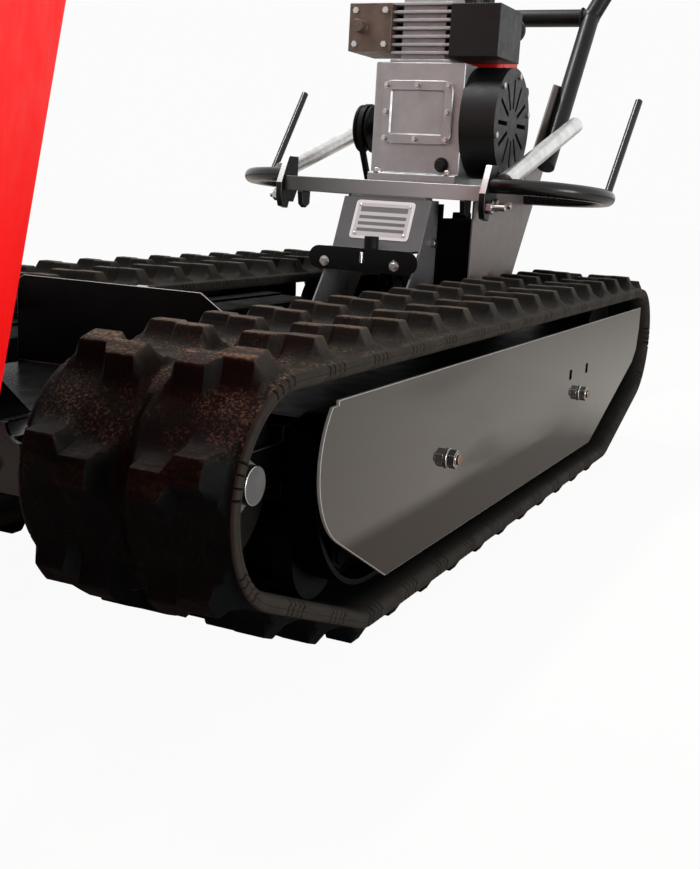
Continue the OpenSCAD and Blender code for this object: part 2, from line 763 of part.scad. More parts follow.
module data_plate() {
  color([0.82, 0.82, 0.8]) translate([0, mid(face_foot_y, pedestal_y), mid(shelf_z, pedestal_top)])
    rotate([face_angle, 0, 0]) box([-data_w / 2, -data_h / 2 + 4, 0.05], [data_w / 2, data_h / 2 + 4, 0.8]);
}

// Engine frame

module cross_bar() {
  color([0.3, 0.3, 0.3])
    square_tube([-bar_left, pedestal_y, bar_z], [bar_right, pedestal_y + bar_s, bar_z + bar_s], 2, [1, 0, 0]);
}
// Puts a right-hand piece on the side that it names
module on_side(side) {
  mirror([side < 0 ? 1 : 0, 0, 0]) children();
}
// On each end of the bar a plate outside it, and a lug under it
module bar_brackets() {
  color([0.1, 0.1, 0.11]) for (s = bracket_sides) on_side(s[0]) translate([0, pedestal_y, bar_z]) {
    along_x(s[1], s[1] + bracket_plate_t) polygon([[-10, -8], [-4, -23], [12, -26], [17, -13], [29, -17], [40, 0],
      [40, stay_foot_z - bar_z + 22], [11, stay_foot_z - bar_z + 22], [-10, bar_s - 10]]);
    along_x(s[1] - 30, s[1] - 22) polygon([[-2, 0], [2, -19], [12, -24], [24, -18], [bar_s + 4, 0]]);
  }
}
// Guard hoop: on each side a half round from the bracket to the side panel, falling to the back
module guard_hoop() {
  end_r = hoop_depth / 2;
  end_x = hoop_half - end_r;
  rod_r = 5.5;
  color([0.07, 0.07, 0.075]) translate([0, hoop_front, hoop_z]) rotate([-asin(hoop_fall / hoop_depth), 0, 0])
    for (s = bracket_sides) on_side(s[0]) difference() {
      union() {
        bar([panel_out, 0, 0], [end_x, 0, 0], hoop_r);
        bar([panel_out, hoop_depth, 0], [end_x, hoop_depth, 0], hoop_r);
        translate([end_x, end_r, 0]) rotate([0, 0, -90]) rotate_extrude(angle = 180, $fn = 96)
          translate([end_r, 0]) circle(r = hoop_r);
        bar([hoop_half - 4, end_r + 20, 0], [hoop_half + 2, end_r + 130, 150], rod_r);
      }
      box([0, -2 * hoop_r, -2 * hoop_r], [s[1] + bracket_plate_t, 2 * hoop_r, 2 * hoop_r]);
    }
}
module side_panels() {
  shelf_end = panel_front + 205;
  top = deck_z - sheet_t;
  under_bar = bar_z - pad_gap;
  mast = [[mast_foot, rail_top], [mast_top_y, mast_top_z], [mast_top_y - mast_w, mast_top_z], [shelf_end, top]];
  color([0.3, 0.285, 0.28]) {
    along_x(panel_in, panel_out) polygon(concat([[panel_front, rail_top]], mast,
      [[bar_back, top], [bar_back, under_bar], [panel_front, under_bar]]));
    along_x(-panel_out, -panel_in)
      polygon(concat([[left_panel_front, rail_top]], mast, [[left_panel_front, top]]));
  }
}
module engine_deck() {
  slot_half = pulley_w / 2 + 5;
  deck_t = 5;
  deck_end = panel_front + 195;
  color([0.1, 0.1, 0.105]) difference() {
    box([-panel_in, pedestal_back, deck_z - deck_t], [panel_in, deck_end, deck_z]);
    box([pulley_x - slot_half, crank_y - 15, deck_z - deck_t - 1],
      [pulley_x + slot_half, deck_end + 1, deck_z + 1]);
  }
}
module shift_box() {
  left = pedestal_w / 2 + 7;
  right = panel_in - 10;
  top = pedestal_top - 23;
  color([0.04, 0.04, 0.045]) {
    box([left, pedestal_back, rail_top], [right, pedestal_back + 70, top]);
    box([left + 10, pedestal_back + 10, top - 1], [right - 10, pedestal_back + 40, top + 9]);
  }
}
module handle_stays() {
  head = bar_start + 0.27 * (bar_knee - bar_start) + [bar_r + stay_r + 0.4, 0, 0];
  color("gainsboro") for (s = bracket_sides) on_side(s[0])
    bar([s[1] + bracket_plate_t + s[3] + stay_r, pedestal_y + 30, stay_foot_z], head, stay_r);
}
module frame_bolts() {
  head_r = 7;
  head_h = 6;
  pin_r = 2;
  color("gainsboro") {
    for (x = [-57, 49]) translate([shelf_x + x, shelf_front, shelf_z - 21]) rotate([90, 0, 0]) {
      cylinder(h = 1.5, r = head_r);
      cylinder(h = head_h, r = head_r - 2, $fn = 6);
    }
    translate([shelf_x, shelf_front - pin_r - pad_gap, shelf_z - 20]) cylinder(h = 15, r = pin_r);
    for (s = bracket_sides) on_side(s[0]) for (p = [[2, -7], [26, -4]])
      translate([s[1] + bracket_plate_t, pedestal_y + p[0], bar_z + p[1]]) {
        rod_x(0, s[2], head_r - 2.5);
        hex_x(0, head_h + 2, head_r + 2);
      }
    both_sides() {
      at_wheel(pedestal_back - 16, shelf_z + 11) hex_x(pedestal_w / 2, pedestal_w / 2 + head_h, head_r);
      for (y = [204, 263]) at_wheel(y, rail_top) translate([-frame_inside, 0, 0]) hex_x(0, 8, head_r);
    }
  }
}

// Drive line

module v_groove_pulley(r, w) {
  rotate([0, 90, 0]) rotate_extrude($fn = 72) polygon([[0, -w / 2], [r, -w / 2], [r, -w / 2 + 4],
    [r - groove_d, -2], [r - groove_d, 2], [r, w / 2 - 4], [r, w / 2], [0, w / 2]]);
}
module gearbox() {
  tube_r = axle_r + 12;
  tube_end = track_gauge / 2 - wheel_w / 2 - 8;
  color([0.16, 0.16, 0.165]) difference() {
    union() {
      box([-box_half, rail_end + 8, wheel_z - 62], [box_half, rear_y + 82, wheel_z + 105]);
      box([-rail_out, rail_end, rail_z], [rail_out, rail_end + 9, rail_top]);
      at_wheel(rear_y, wheel_z) rod_x(-tube_end, tube_end, tube_r);
      at_wheel(input_y, input_z) rod_x(-box_half - 6, 0, input_r + 8);
      for (x = [-19, 7])
        box([gear_x + x, gear_y - 16, wheel_z + 104], [gear_x + x + 12, gear_y + 16, gear_z + 12]);
      box([-tow_half, rear_y + 81, tow_z], [tow_half, tow_y + tow_half, tow_z + tow_t]);
    }
    translate([0, tow_y, tow_z - 1]) cylinder(h = tow_t + 2, r = tow_hole_r);
    for (side = [-1, 1]) at_wheel(rear_y, wheel_z) translate([side * tube_end, 0, 0])
      rod_x(-tube_end + box_half - 13, tube_end - box_half + 13, axle_r + fit);
    at_wheel(input_y, input_z) rod_x(-box_half - 7, -20, input_r + fit);
    at_wheel(gear_y, gear_z) rod_x(gear_x - 20, gear_x + 20, lever_pin_r + fit);
  }
}
module gearbox_pulley() {
  color("gray") at_wheel(input_y, input_z) {
    translate([pulley_x, 0, 0]) v_groove_pulley(large_pulley_r, pulley_w);
    rod_x(pulley_x, -21, input_r);
  }
}
module engine_pulley() {
  color("gray") at_wheel(crank_y, crank_z) {
    translate([pulley_x, 0, 0]) v_groove_pulley(small_pulley_r, pulley_w);
    rod_x(pulley_x, case_left + 40, input_r);
  }
}
// Belt outline at a distance d outside the pulleys' rims
module belt_shape(d) {
  a = [crank_y, crank_z];
  b = [input_y, input_z];
  ra = small_pulley_r + d;
  rb = large_pulley_r + d;
  lean = atan2(b[1] - a[1], b[0] - a[0]);
  open = acos((ra - rb) / norm(b - a));
  function edge(c, r, s) = c + r * [cos(lean + s * open), sin(lean + s * open)];
  translate(a) circle(r = ra);
  translate(b) circle(r = rb);
  polygon([edge(a, ra, -1), edge(b, rb, -1), edge(b, rb, 1), edge(a, ra, 1)]);
}
module drive_belt() {
  belt_w = 7.6;
  color([0.05, 0.05, 0.05]) along_x(pulley_x - belt_w / 2, pulley_x + belt_w / 2) difference() {
    belt_shape(belt_h - groove_d + belt_gap + 2);
    belt_shape(belt_gap - groove_d + 4);
  }
}

// Engine

module crankcase() {
  color([0.62, 0.63, 0.64]) difference() {
    union() {
      box([case_left + 4, case_front, deck_z], [case_right, case_back, deck_z + 14]);
      box([case_left + 4, case_front + 12, deck_z + 13], [case_right, case_back - 12, case_top]);
      at_wheel(crank_y, crank_z) rod_x(case_left, case_left + 20, 46);
    }
    at_wheel(crank_y, crank_z) rod_x(case_left - 1, case_left + 41, input_r + fit);
  }
}
module cylinder_head() {
  fin_count = 8;
  fin_step = 11;
  low = [case_left + 24, case_front + 14, case_top];
  color([0.55, 0.56, 0.57]) {
    box(low + [12, 10, 0], low + [78, 78, fin_step * fin_count + 6]);
    for (k = [0:fin_count - 1]) translate([0, 0, k * fin_step]) box(low, low + [90, 88, 4]);
  }
}
module fan_cover() {
  shell = 3;
  color([0.08, 0.08, 0.085]) at_wheel(fan_y, fan_z) difference() {
    rod_x(case_right, fan_out, fan_r);
    rod_x(case_right - 1, fan_out - shell, fan_r - shell);
    for (k = [0:11]) rotate([k * 30, 0, 0]) box([fan_out - shell - 1, -3, 22], [fan_out + 1, 3, 62]);
    translate([cord_x, 0, cord_rise]) rotate([-90, 0, 0]) cylinder(h = fan_r, r = cord_r + 0.6);
  }
}
module recoil_grip() {
  outlet = sqrt(fan_r * fan_r - cord_rise * cord_rise);
  color([0.05, 0.05, 0.05]) translate([cord_x, fan_y, fan_z + cord_rise]) {
    translate([0, -outlet + 10, 0]) rotate([-90, 0, 0]) cylinder(h = 2 * outlet + 2, r = cord_r);
    translate([case_right + case_gap - cord_x, outlet + 12, 0]) rod_x(0, recoil_l, 8);
  }
}
module fuel_tank() {
  round_r = 16;
  color([0.85, 0.06, 0.05]) {
    hull() for (x = [round_r, tank_size[0] - round_r]) for (y = [round_r, tank_size[1] - round_r])
      translate(tank_low + [x, y, 0]) {
        cylinder(h = tank_size[2] - round_r, r = round_r, $fn = 24);
        translate([0, 0, tank_size[2] - round_r]) sphere(r = round_r, $fn = 24);
      }
    translate(neck) cylinder(h = 7.5, r = neck_r);
  }
}
module fuel_cap() {
  color([0.05, 0.05, 0.05]) translate(neck + [0, 0, 1.4]) difference() {
    cylinder(h = 15, r = 25);
    translate([0, 0, -1]) cylinder(h = 8, r = neck_r + fit);
    for (k = [0:11]) rotate([0, 0, k * 30]) translate([26, 0, -1]) cylinder(h = 17, r = 2.5);
  }
}
module muffler() {
  low = [case_left - 42, case_front + 10, case_top + 14];
  color([0.35, 0.33, 0.31]) {
    box(low, low + [66, 92, 66]);
    translate(low + [20, 4, 33]) rotate([90, 0, 0]) cylinder(h = 22, r = 9);
  }
}
module air_cleaner() {
  low = [case_right - 26, case_front + 8, case_top + 8];
  color([0.06, 0.06, 0.065]) {
    box(low, low + [72, 96, 70]);
    translate(low + [36, 48, 69]) cylinder(h = 14, r = 9);
  }
}

// Handlebars and controls

module handlebars() {
  color([0.07, 0.07, 0.075]) {
    both_sides() {
      bar(bar_start, bar_knee, bar_r);
      ball(bar_knee, bar_r + 1);
      bar(bar_knee, bar_bend, bar_r);
      ball(bar_bend, bar_r + 1);
      bar(bar_bend, [grip_half, grip_end - 4, grip_z], bar_r);
      // Lever pivot under the grip
      box([grip_half - 12, lever_y - 9, grip_z - lever_drop - 9],
        [grip_half - lever_w / 2 - 0.4, lever_y + 9, grip_z - bar_r + 6]);
      at_wheel(lever_y, grip_z - lever_drop) rod_x(grip_half - 12, grip_half + lever_w / 2 + 3, lever_pin_r);
    }
    bar(bar_knee, [-bar_knee[0], bar_knee[1], bar_knee[2]], bar_r);
    // Pivot of the clutch lever over the left grip
    box([-grip_half + lever_w / 2 + 0.4, lever_y - 9, grip_z + bar_r - 6],
      [-grip_half + 12, lever_y + 9, grip_z + lever_drop + 9]);
    at_wheel(lever_y, grip_z + lever_drop) rod_x(-grip_half - lever_w / 2 - 3, -grip_half + 12, lever_pin_r);
    // Pivot of the throttle lever inside the right tube
    at_wheel(lever_y - 14, grip_z) rod_x(grip_half - bar_r - 16, grip_half, lever_pin_r);
  }
}
module grips() {
  color([0.04, 0.04, 0.04]) both_sides() translate([grip_half, grip_end - grip_l, grip_z]) rotate([-90, 0, 0])
    difference() {
      cylinder(h = grip_l, r = bar_r + grip_wall);
      translate([0, 0, -1]) cylinder(h = grip_l - 2.7, r = bar_r + fit);
    }
}
// Lever blade running back from its pivot below a grip
module lever_blade() {
  difference() {
    along_x(-lever_w / 2, lever_w / 2) {
      circle(r = 9);
      polygon([[-3, -8], [20, -8], [grip_l + 4, -16], [grip_l + 4, -8], [24, 4], [6, 7]]);
    }
    rod_x(-lever_w, lever_w, lever_pin_r + fit);
  }
}
module steer_lever(side) {
  color([0.1, 0.1, 0.1]) translate([side * grip_half, lever_y, grip_z - lever_drop]) lever_blade();
}
module clutch_lever() {
  color([0.75, 0.06, 0.05]) translate([-grip_half, lever_y, grip_z + lever_drop]) mirror([0, 0, 1])
    lever_blade();
}
module throttle_lever() {
  color([0.75, 0.06, 0.05]) translate([grip_half - bar_r - 10, lever_y - 14, grip_z]) difference() {
    along_x(-5, 5) {
      circle(r = 10);
      polygon([[-6, 0], [6, 0], [4, 44], [-4, 44]]);
    }
    rod_x(-10, 10, lever_pin_r + fit);
  }
}
module gear_lever() {
  top = [gear_x, gear_y + gear_lean, gear_z + gear_rise];
  pivot = [gear_x, gear_y, gear_z];
  color([0.1, 0.1, 0.1]) {
    bar(pivot, top, 6);
    ball(top, 20);
    at_wheel(gear_y, gear_z) {
      rod_x(gear_x - 6.6, gear_x + 6.6, 10);
      rod_x(gear_x - 19, gear_x + 19, lever_pin_r);
    }
  }
}

track(-1);  // track_left
track(1);  // track_right
guard_plate(-1);  // guard_plate_left
guard_plate(1);  // guard_plate_right
guard_bolts();
track_frame(-1);  // track_frame_left
track_frame(1);  // track_frame_right
wheel_axles();
roller(-1, first_roller_y);  // roller_left_front
roller(-1, middle_roller_y);  // roller_left_middle
roller(-1, last_roller_y);  // roller_left_rear
roller(1, first_roller_y);  // roller_right_front
roller(1, middle_roller_y);  // roller_right_middle
roller(1, last_roller_y);  // roller_right_rear
idler(-1);  // idler_left
idler(1);  // idler_right
idler_forks();
sprocket(-1);  // sprocket_left
sprocket(1);  // sprocket_right
drive_shaft(-1);  // drive_shaft_left
drive_shaft(1);  // drive_shaft_right
cross_tubes();
main_rails();
front_frame();
bulkhead();
hinge_pins();
bed_tub();
bed_ribs();
bed_latch();
pedestal();
rest_shelf();
rest_bumper();
data_plate();
frame_bolts();
cross_bar();
bar_brackets();
guard_hoop();
side_panels();
engine_deck();
gearbox();
shift_box();
crankcase();
cylinder_head();
fan_cover();
recoil_grip();
fuel_tank();
fuel_cap();
muffler();
air_cleaner();
engine_pulley();
gearbox_pulley();
drive_belt();
handlebars();
grips();
steer_lever(-1);  // steer_lever_left
steer_lever(1);  // steer_lever_right
clutch_lever();
throttle_lever();
gear_lever();
handle_stays();
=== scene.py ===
import bpy
import bmesh
import json
import math
import numpy as np
from mathutils import Matrix, Vector


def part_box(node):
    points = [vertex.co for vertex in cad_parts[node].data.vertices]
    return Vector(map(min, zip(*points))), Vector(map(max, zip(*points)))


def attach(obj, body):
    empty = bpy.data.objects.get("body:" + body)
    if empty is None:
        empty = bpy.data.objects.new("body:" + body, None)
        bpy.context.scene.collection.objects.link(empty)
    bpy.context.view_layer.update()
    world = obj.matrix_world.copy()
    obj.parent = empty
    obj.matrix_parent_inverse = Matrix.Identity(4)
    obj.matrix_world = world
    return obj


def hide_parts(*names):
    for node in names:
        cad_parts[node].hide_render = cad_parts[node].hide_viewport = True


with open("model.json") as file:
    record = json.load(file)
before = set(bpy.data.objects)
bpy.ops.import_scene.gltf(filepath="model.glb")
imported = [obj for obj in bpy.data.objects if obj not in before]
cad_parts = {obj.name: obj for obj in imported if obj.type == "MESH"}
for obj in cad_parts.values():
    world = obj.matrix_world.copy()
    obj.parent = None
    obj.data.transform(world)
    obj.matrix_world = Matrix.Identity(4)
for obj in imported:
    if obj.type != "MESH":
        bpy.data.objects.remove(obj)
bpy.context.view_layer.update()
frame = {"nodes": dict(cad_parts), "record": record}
nodes = frame["nodes"]
scene = bpy.context.scene
scene.view_settings.view_transform = "Standard"
mm = 1000  # millimetres in Blender's metre
print("frame loaded", len(nodes), "nodes")

# camera at the photograph's place in metres, picture 700 x 869
cameraView = dict(
    place=(0.688, -1.292, 0.383), yaw=24.88, pitch=11.73, roll=-3.26, focalPixels=1192.14, longSide=869,
    sensor=36, near=0.01, far=60)


def makeCamera(v):
    yaw, pitch, roll = (math.radians(v[k]) for k in ("yaw", "pitch", "roll"))
    look = Vector((-math.sin(yaw) * math.cos(pitch), math.cos(yaw) * math.cos(pitch), -math.sin(pitch)))
    right = Vector((math.cos(yaw), math.sin(yaw), 0))
    down = look.cross(right)
    acrossAxis = math.cos(roll) * right + math.sin(roll) * down
    downAxis = -math.sin(roll) * right + math.cos(roll) * down
    data = bpy.data.cameras.new("camera")
    data.sensor_width = v["sensor"]
    data.lens = v["focalPixels"] * v["sensor"] / v["longSide"]
    data.clip_start, data.clip_end = v["near"], v["far"]
    cam = bpy.data.objects.new("camera", data)
    m = Matrix((acrossAxis, -downAxis, -look)).transposed().to_4x4()
    m.translation = Vector(v["place"])
    cam.matrix_world = m
    scene.collection.objects.link(cam)
    scene.camera = cam


makeCamera(cameraView)


# material helpers
def startMaterial(name):
    mat = bpy.data.materials.new(name)
    mat.use_nodes = True
    tree = mat.node_tree
    return mat, tree, tree.nodes["Principled BSDF"]


def setInputs(n, **inputs):  # socket names, _ for a space
    for k, v in inputs.items():
        n.inputs[k.replace("_", " ")].default_value = v


def addNode(tree, kind, **inputs):
    n = tree.nodes.new(kind)
    setInputs(n, **inputs)
    return n


def objectNoise(tree, scale, detail=3.0, rough=0.55, stretch=None):
    coord = tree.nodes.new("ShaderNodeTexCoord")
    tex = addNode(tree, "ShaderNodeTexNoise", Scale=scale, Detail=detail, Roughness=rough)
    if stretch:
        mapping = addNode(tree, "ShaderNodeMapping", Scale=stretch)
        tree.links.new(coord.outputs["Object"], mapping.inputs["Vector"])
        tree.links.new(mapping.outputs["Vector"], tex.inputs["Vector"])
    else:
        tree.links.new(coord.outputs["Object"], tex.inputs["Vector"])
    return tex.outputs["Fac"]


def rampOf(tree, value, stops):
    n = tree.nodes.new("ShaderNodeValToRGB")
    for el, (at, col) in zip(n.color_ramp.elements, stops):
        el.position = at
        el.color = (*col, 1) if isinstance(col, tuple) else (col, col, col, 1)
    tree.links.new(value, n.inputs["Fac"])
    return n.outputs["Color"]


def fillSocket(tree, socket, value):
    if isinstance(value, bpy.types.NodeSocket):
        tree.links.new(value, socket)
    else:
        socket.default_value = (*value, 1) if isinstance(value, tuple) else value


def mixColour(tree, fac, a, b, how="MIX"):
    n = tree.nodes.new("ShaderNodeMix")
    n.data_type = "RGBA"
    n.blend_type = how
    ends = [s for s in n.inputs if s.type == "RGBA"]
    for socket, value in ((n.inputs[0], fac), (ends[0], a), (ends[1], b)):
        fillSocket(tree, socket, value)
    return [s for s in n.outputs if s.type == "RGBA"][0]


def mathNode(tree, how, *values):
    n = tree.nodes.new("ShaderNodeMath")
    n.operation = how
    for socket, value in zip(n.inputs, values):
        fillSocket(tree, socket, value)
    return n.outputs[0]


def bumpInto(tree, bsdf, height, strength, distance):
    n = addNode(tree, "ShaderNodeBump", Strength=strength, Distance=distance)
    tree.links.new(height, n.inputs["Height"])
    tree.links.new(n.outputs["Normal"], bsdf.inputs["Normal"])


def shade(c, f):
    return tuple(min(1.0, x * f) for x in c)


def driftTone(tree, colour, noise, darker, paler):
    stops = [(0.3, shade(colour, darker)), (0.7, shade(colour, paler))]
    return rampOf(tree, objectNoise(tree, *noise), stops)


def driftGloss(tree, bsdf, rough, noise, least, most, top=0.7):
    ramp = rampOf(tree, objectNoise(tree, *noise), [(0.3, rough * least), (top, min(1.0, rough * most))])
    tree.links.new(ramp, bsdf.inputs["Roughness"])


# painted sheet: slow colour drift, orange peel, dusty patches; noise is scale per metre, detail, roughness
paintLook = dict(
    drift=(7.0, 4.0), dust=(23.0, 6.0, 0.65), gloss=(41.0, 5.0), dustTone=(0.17, 0.14, 0.11),
    peelDetail=2.0, peelDepth=0.002)


def paintedSheet(name, colour, rough=0.3, spread=0.2, peel=0.05, peelScale=260.0, dust=0.0, metal=0.0,
                 spec=0.5, tint=(1, 1, 1), ior=1.5, fade=None):
    look = paintLook
    mat, tree, bsdf = startMaterial(name)
    tone = driftTone(tree, colour, look["drift"], 1 - spread, 1 + spread)
    if dust:
        film = rampOf(tree, objectNoise(tree, *look["dust"]), [(0.5, 0.0), (0.8, dust)])
        tone = mixColour(tree, film, tone, look["dustTone"])
    if fade:  # painted shade: darker towards one end, places in metres along X
        start, end, least = fade
        coord, along = tree.nodes.new("ShaderNodeTexCoord"), tree.nodes.new("ShaderNodeSeparateXYZ")
        tree.links.new(coord.outputs["Object"], along.inputs["Vector"])
        share = mathNode(tree, "DIVIDE", mathNode(tree, "SUBTRACT", along.outputs["X"], start), end - start)
        tone = mixColour(tree, 1.0, tone, rampOf(tree, share, [(0.0, least), (1.0, 1.0)]), "MULTIPLY")
    tree.links.new(tone, bsdf.inputs["Base Color"])
    driftGloss(tree, bsdf, rough, look["gloss"], 0.85, 1.25, top=0.75)
    setInputs(bsdf, Metallic=metal, Specular_IOR_Level=spec, Specular_Tint=(*tint, 1), IOR=ior)
    bumpInto(tree, bsdf, objectNoise(tree, peelScale, look["peelDetail"]), peel, look["peelDepth"])
    return mat


# plated metal: cloudy, stained in places, drawn lines along its grain
platedLook = dict(
    cloud=(60.0, 5.0), stain=(25.0, 3.0), lines=(9.0, 4.0, 0.6), dull=0.72, stained=0.35, bump=0.08,
    depth=0.001)


def platedMetal(name, colour, rough=0.3, grain=(30.0, 30.0, 260.0), tint=(0.8, 0.72, 0.5)):
    look = platedLook
    mat, tree, bsdf = startMaterial(name)
    stops = [(0.35, colour), (0.75, shade(colour, look["dull"]))]
    cloud = rampOf(tree, objectNoise(tree, *look["cloud"]), stops)
    stain = rampOf(tree, objectNoise(tree, *look["stain"]), [(0.55, 0.0), (0.8, look["stained"])])
    tree.links.new(mixColour(tree, stain, cloud, tint), bsdf.inputs["Base Color"])
    lines = objectNoise(tree, *look["lines"], grain)
    tree.links.new(rampOf(tree, lines, [(0.3, rough * 0.75), (0.7, rough * 1.35)]), bsdf.inputs["Roughness"])
    setInputs(bsdf, Metallic=1.0)
    bumpInto(tree, bsdf, lines, look["bump"], look["depth"])
    return mat


# cast metal: patchy tone and fine pits
castLook = dict(tone=(35.0, 6.0), gloss=(90.0, 3.0), pit=(4.0, 0.7), bump=0.25, depth=0.002)


def castMetal(name, colour, rough=0.55, metal=0.6, pits=300.0, spec=0.4, spread=0.28):
    look = castLook
    mat, tree, bsdf = startMaterial(name)
    tree.links.new(driftTone(tree, colour, look["tone"], 1 - spread, 1 + spread), bsdf.inputs["Base Color"])
    driftGloss(tree, bsdf, rough, look["gloss"], 0.8, 1.2)
    setInputs(bsdf, Metallic=metal, Specular_IOR_Level=spec)
    bumpInto(tree, bsdf, objectNoise(tree, pits, *look["pit"]), look["bump"], look["depth"])
    return mat


# moulded plastic and plain rubber: even tone with a fine texture
mouldedLook = dict(tone=(18.0, 5.0), gloss=(75.0, 4.0), detail=2.0, depth=0.001)


def mouldedPlastic(name, colour, rough=0.45, texture=500.0, bump=0.15, spec=0.3):
    look = mouldedLook
    mat, tree, bsdf = startMaterial(name)
    tree.links.new(driftTone(tree, colour, look["tone"], 0.85, 1.2), bsdf.inputs["Base Color"])
    driftGloss(tree, bsdf, rough, look["gloss"], 0.85, 1.2)
    setInputs(bsdf, Specular_IOR_Level=spec)
    bumpInto(tree, bsdf, objectNoise(tree, texture, look["detail"]), bump, look["depth"])
    return mat


# track rubber: near black; a pale layer, partly dust and partly painted light, and sand lie where the mesh's
# own attributes say
rubberLook = dict(
    # the base is tinted blue-green, a painted shade that cancels the red light bounced off the bed
    baseDark=(0.0008, 0.0014, 0.0015), basePale=(0.0017, 0.0029, 0.0031), rubbed=(0.0032, 0.0046, 0.0047),
    rubbedShare=0.3, film=(0.0790, 0.0675, 0.0570), sandDark=(0.042, 0.031, 0.019),
    sandPale=(0.32, 0.24, 0.145), wipe=(0.1, 1.0, 0.5), gloss=(0.52, 0.7), spec=0.03, sandRise=0.8,
    bump=0.2, depth=0.002)
rubberNoise = dict(
    base=(30.0, 7.0, 0.65), veil=(48.0, 6.0, 0.65), grains=(430.0, 3.0, 0.7), patches=(28.0, 5.0, 0.6),
    wiped=(150.0, 5.0, 0.7), sand=(300.0, 2.0), gloss=(55.0, 5.0), relief=(160.0, 6.0, 0.6))


def trackRubber(look, noise):
    mat, tree, bsdf = startMaterial("trackRubber")

    def attribute(name):
        n = tree.nodes.new("ShaderNodeAttribute")
        n.attribute_name = name
        return n.outputs["Fac"]

    def patchy(key, stops, stretch=None):
        return rampOf(tree, objectNoise(tree, *noise[key], stretch=stretch), stops)

    def times(a, b):
        return mathNode(tree, "MULTIPLY", a, b)

    dust, film, crest = attribute("dust"), attribute("film"), attribute("crest")
    base = patchy("base", [(0.3, look["baseDark"]), (0.72, look["basePale"])])
    rubbed = mixColour(tree, times(crest, look["rubbedShare"]), base, look["rubbed"])
    veil = patchy("veil", [(0.25, 0.55), (0.75, 1.0)])
    # the pale layer is partly dust and partly painted light
    dull = mixColour(tree, times(veil, film), rubbed, look["film"])
    grains = patchy("grains", [(0.48, 0.0), (0.62, 1.0)])
    patches = patchy("patches", [(0.38, 0.0), (0.64, 1.0)])
    wiped = patchy("wiped", [(0.46, 0.0), (0.66, 1.0)], look["wipe"])
    sand = times(mathNode(tree, "MAXIMUM", times(grains, patches), times(wiped, crest)), dust)
    sandTone = patchy("sand", [(0.35, look["sandDark"]), (0.7, look["sandPale"])])
    tree.links.new(mixColour(tree, sand, dull, sandTone), bsdf.inputs["Base Color"])
    gloss = patchy("gloss", [(0.3, look["gloss"][0]), (0.75, look["gloss"][1])])
    tree.links.new(gloss, bsdf.inputs["Roughness"])
    setInputs(bsdf, Specular_IOR_Level=look["spec"])
    relief = mathNode(tree, "ADD", objectNoise(tree, *noise["relief"]), times(sand, look["sandRise"]))
    bumpInto(tree, bsdf, relief, look["bump"], look["depth"])
    return mat


def evenSheet(name, colour, spread, rough=0.35, peel=0.05, spec=0.5):
    return paintedSheet(name, colour, rough=rough, spread=spread, peel=peel, peelScale=300.0, spec=spec)


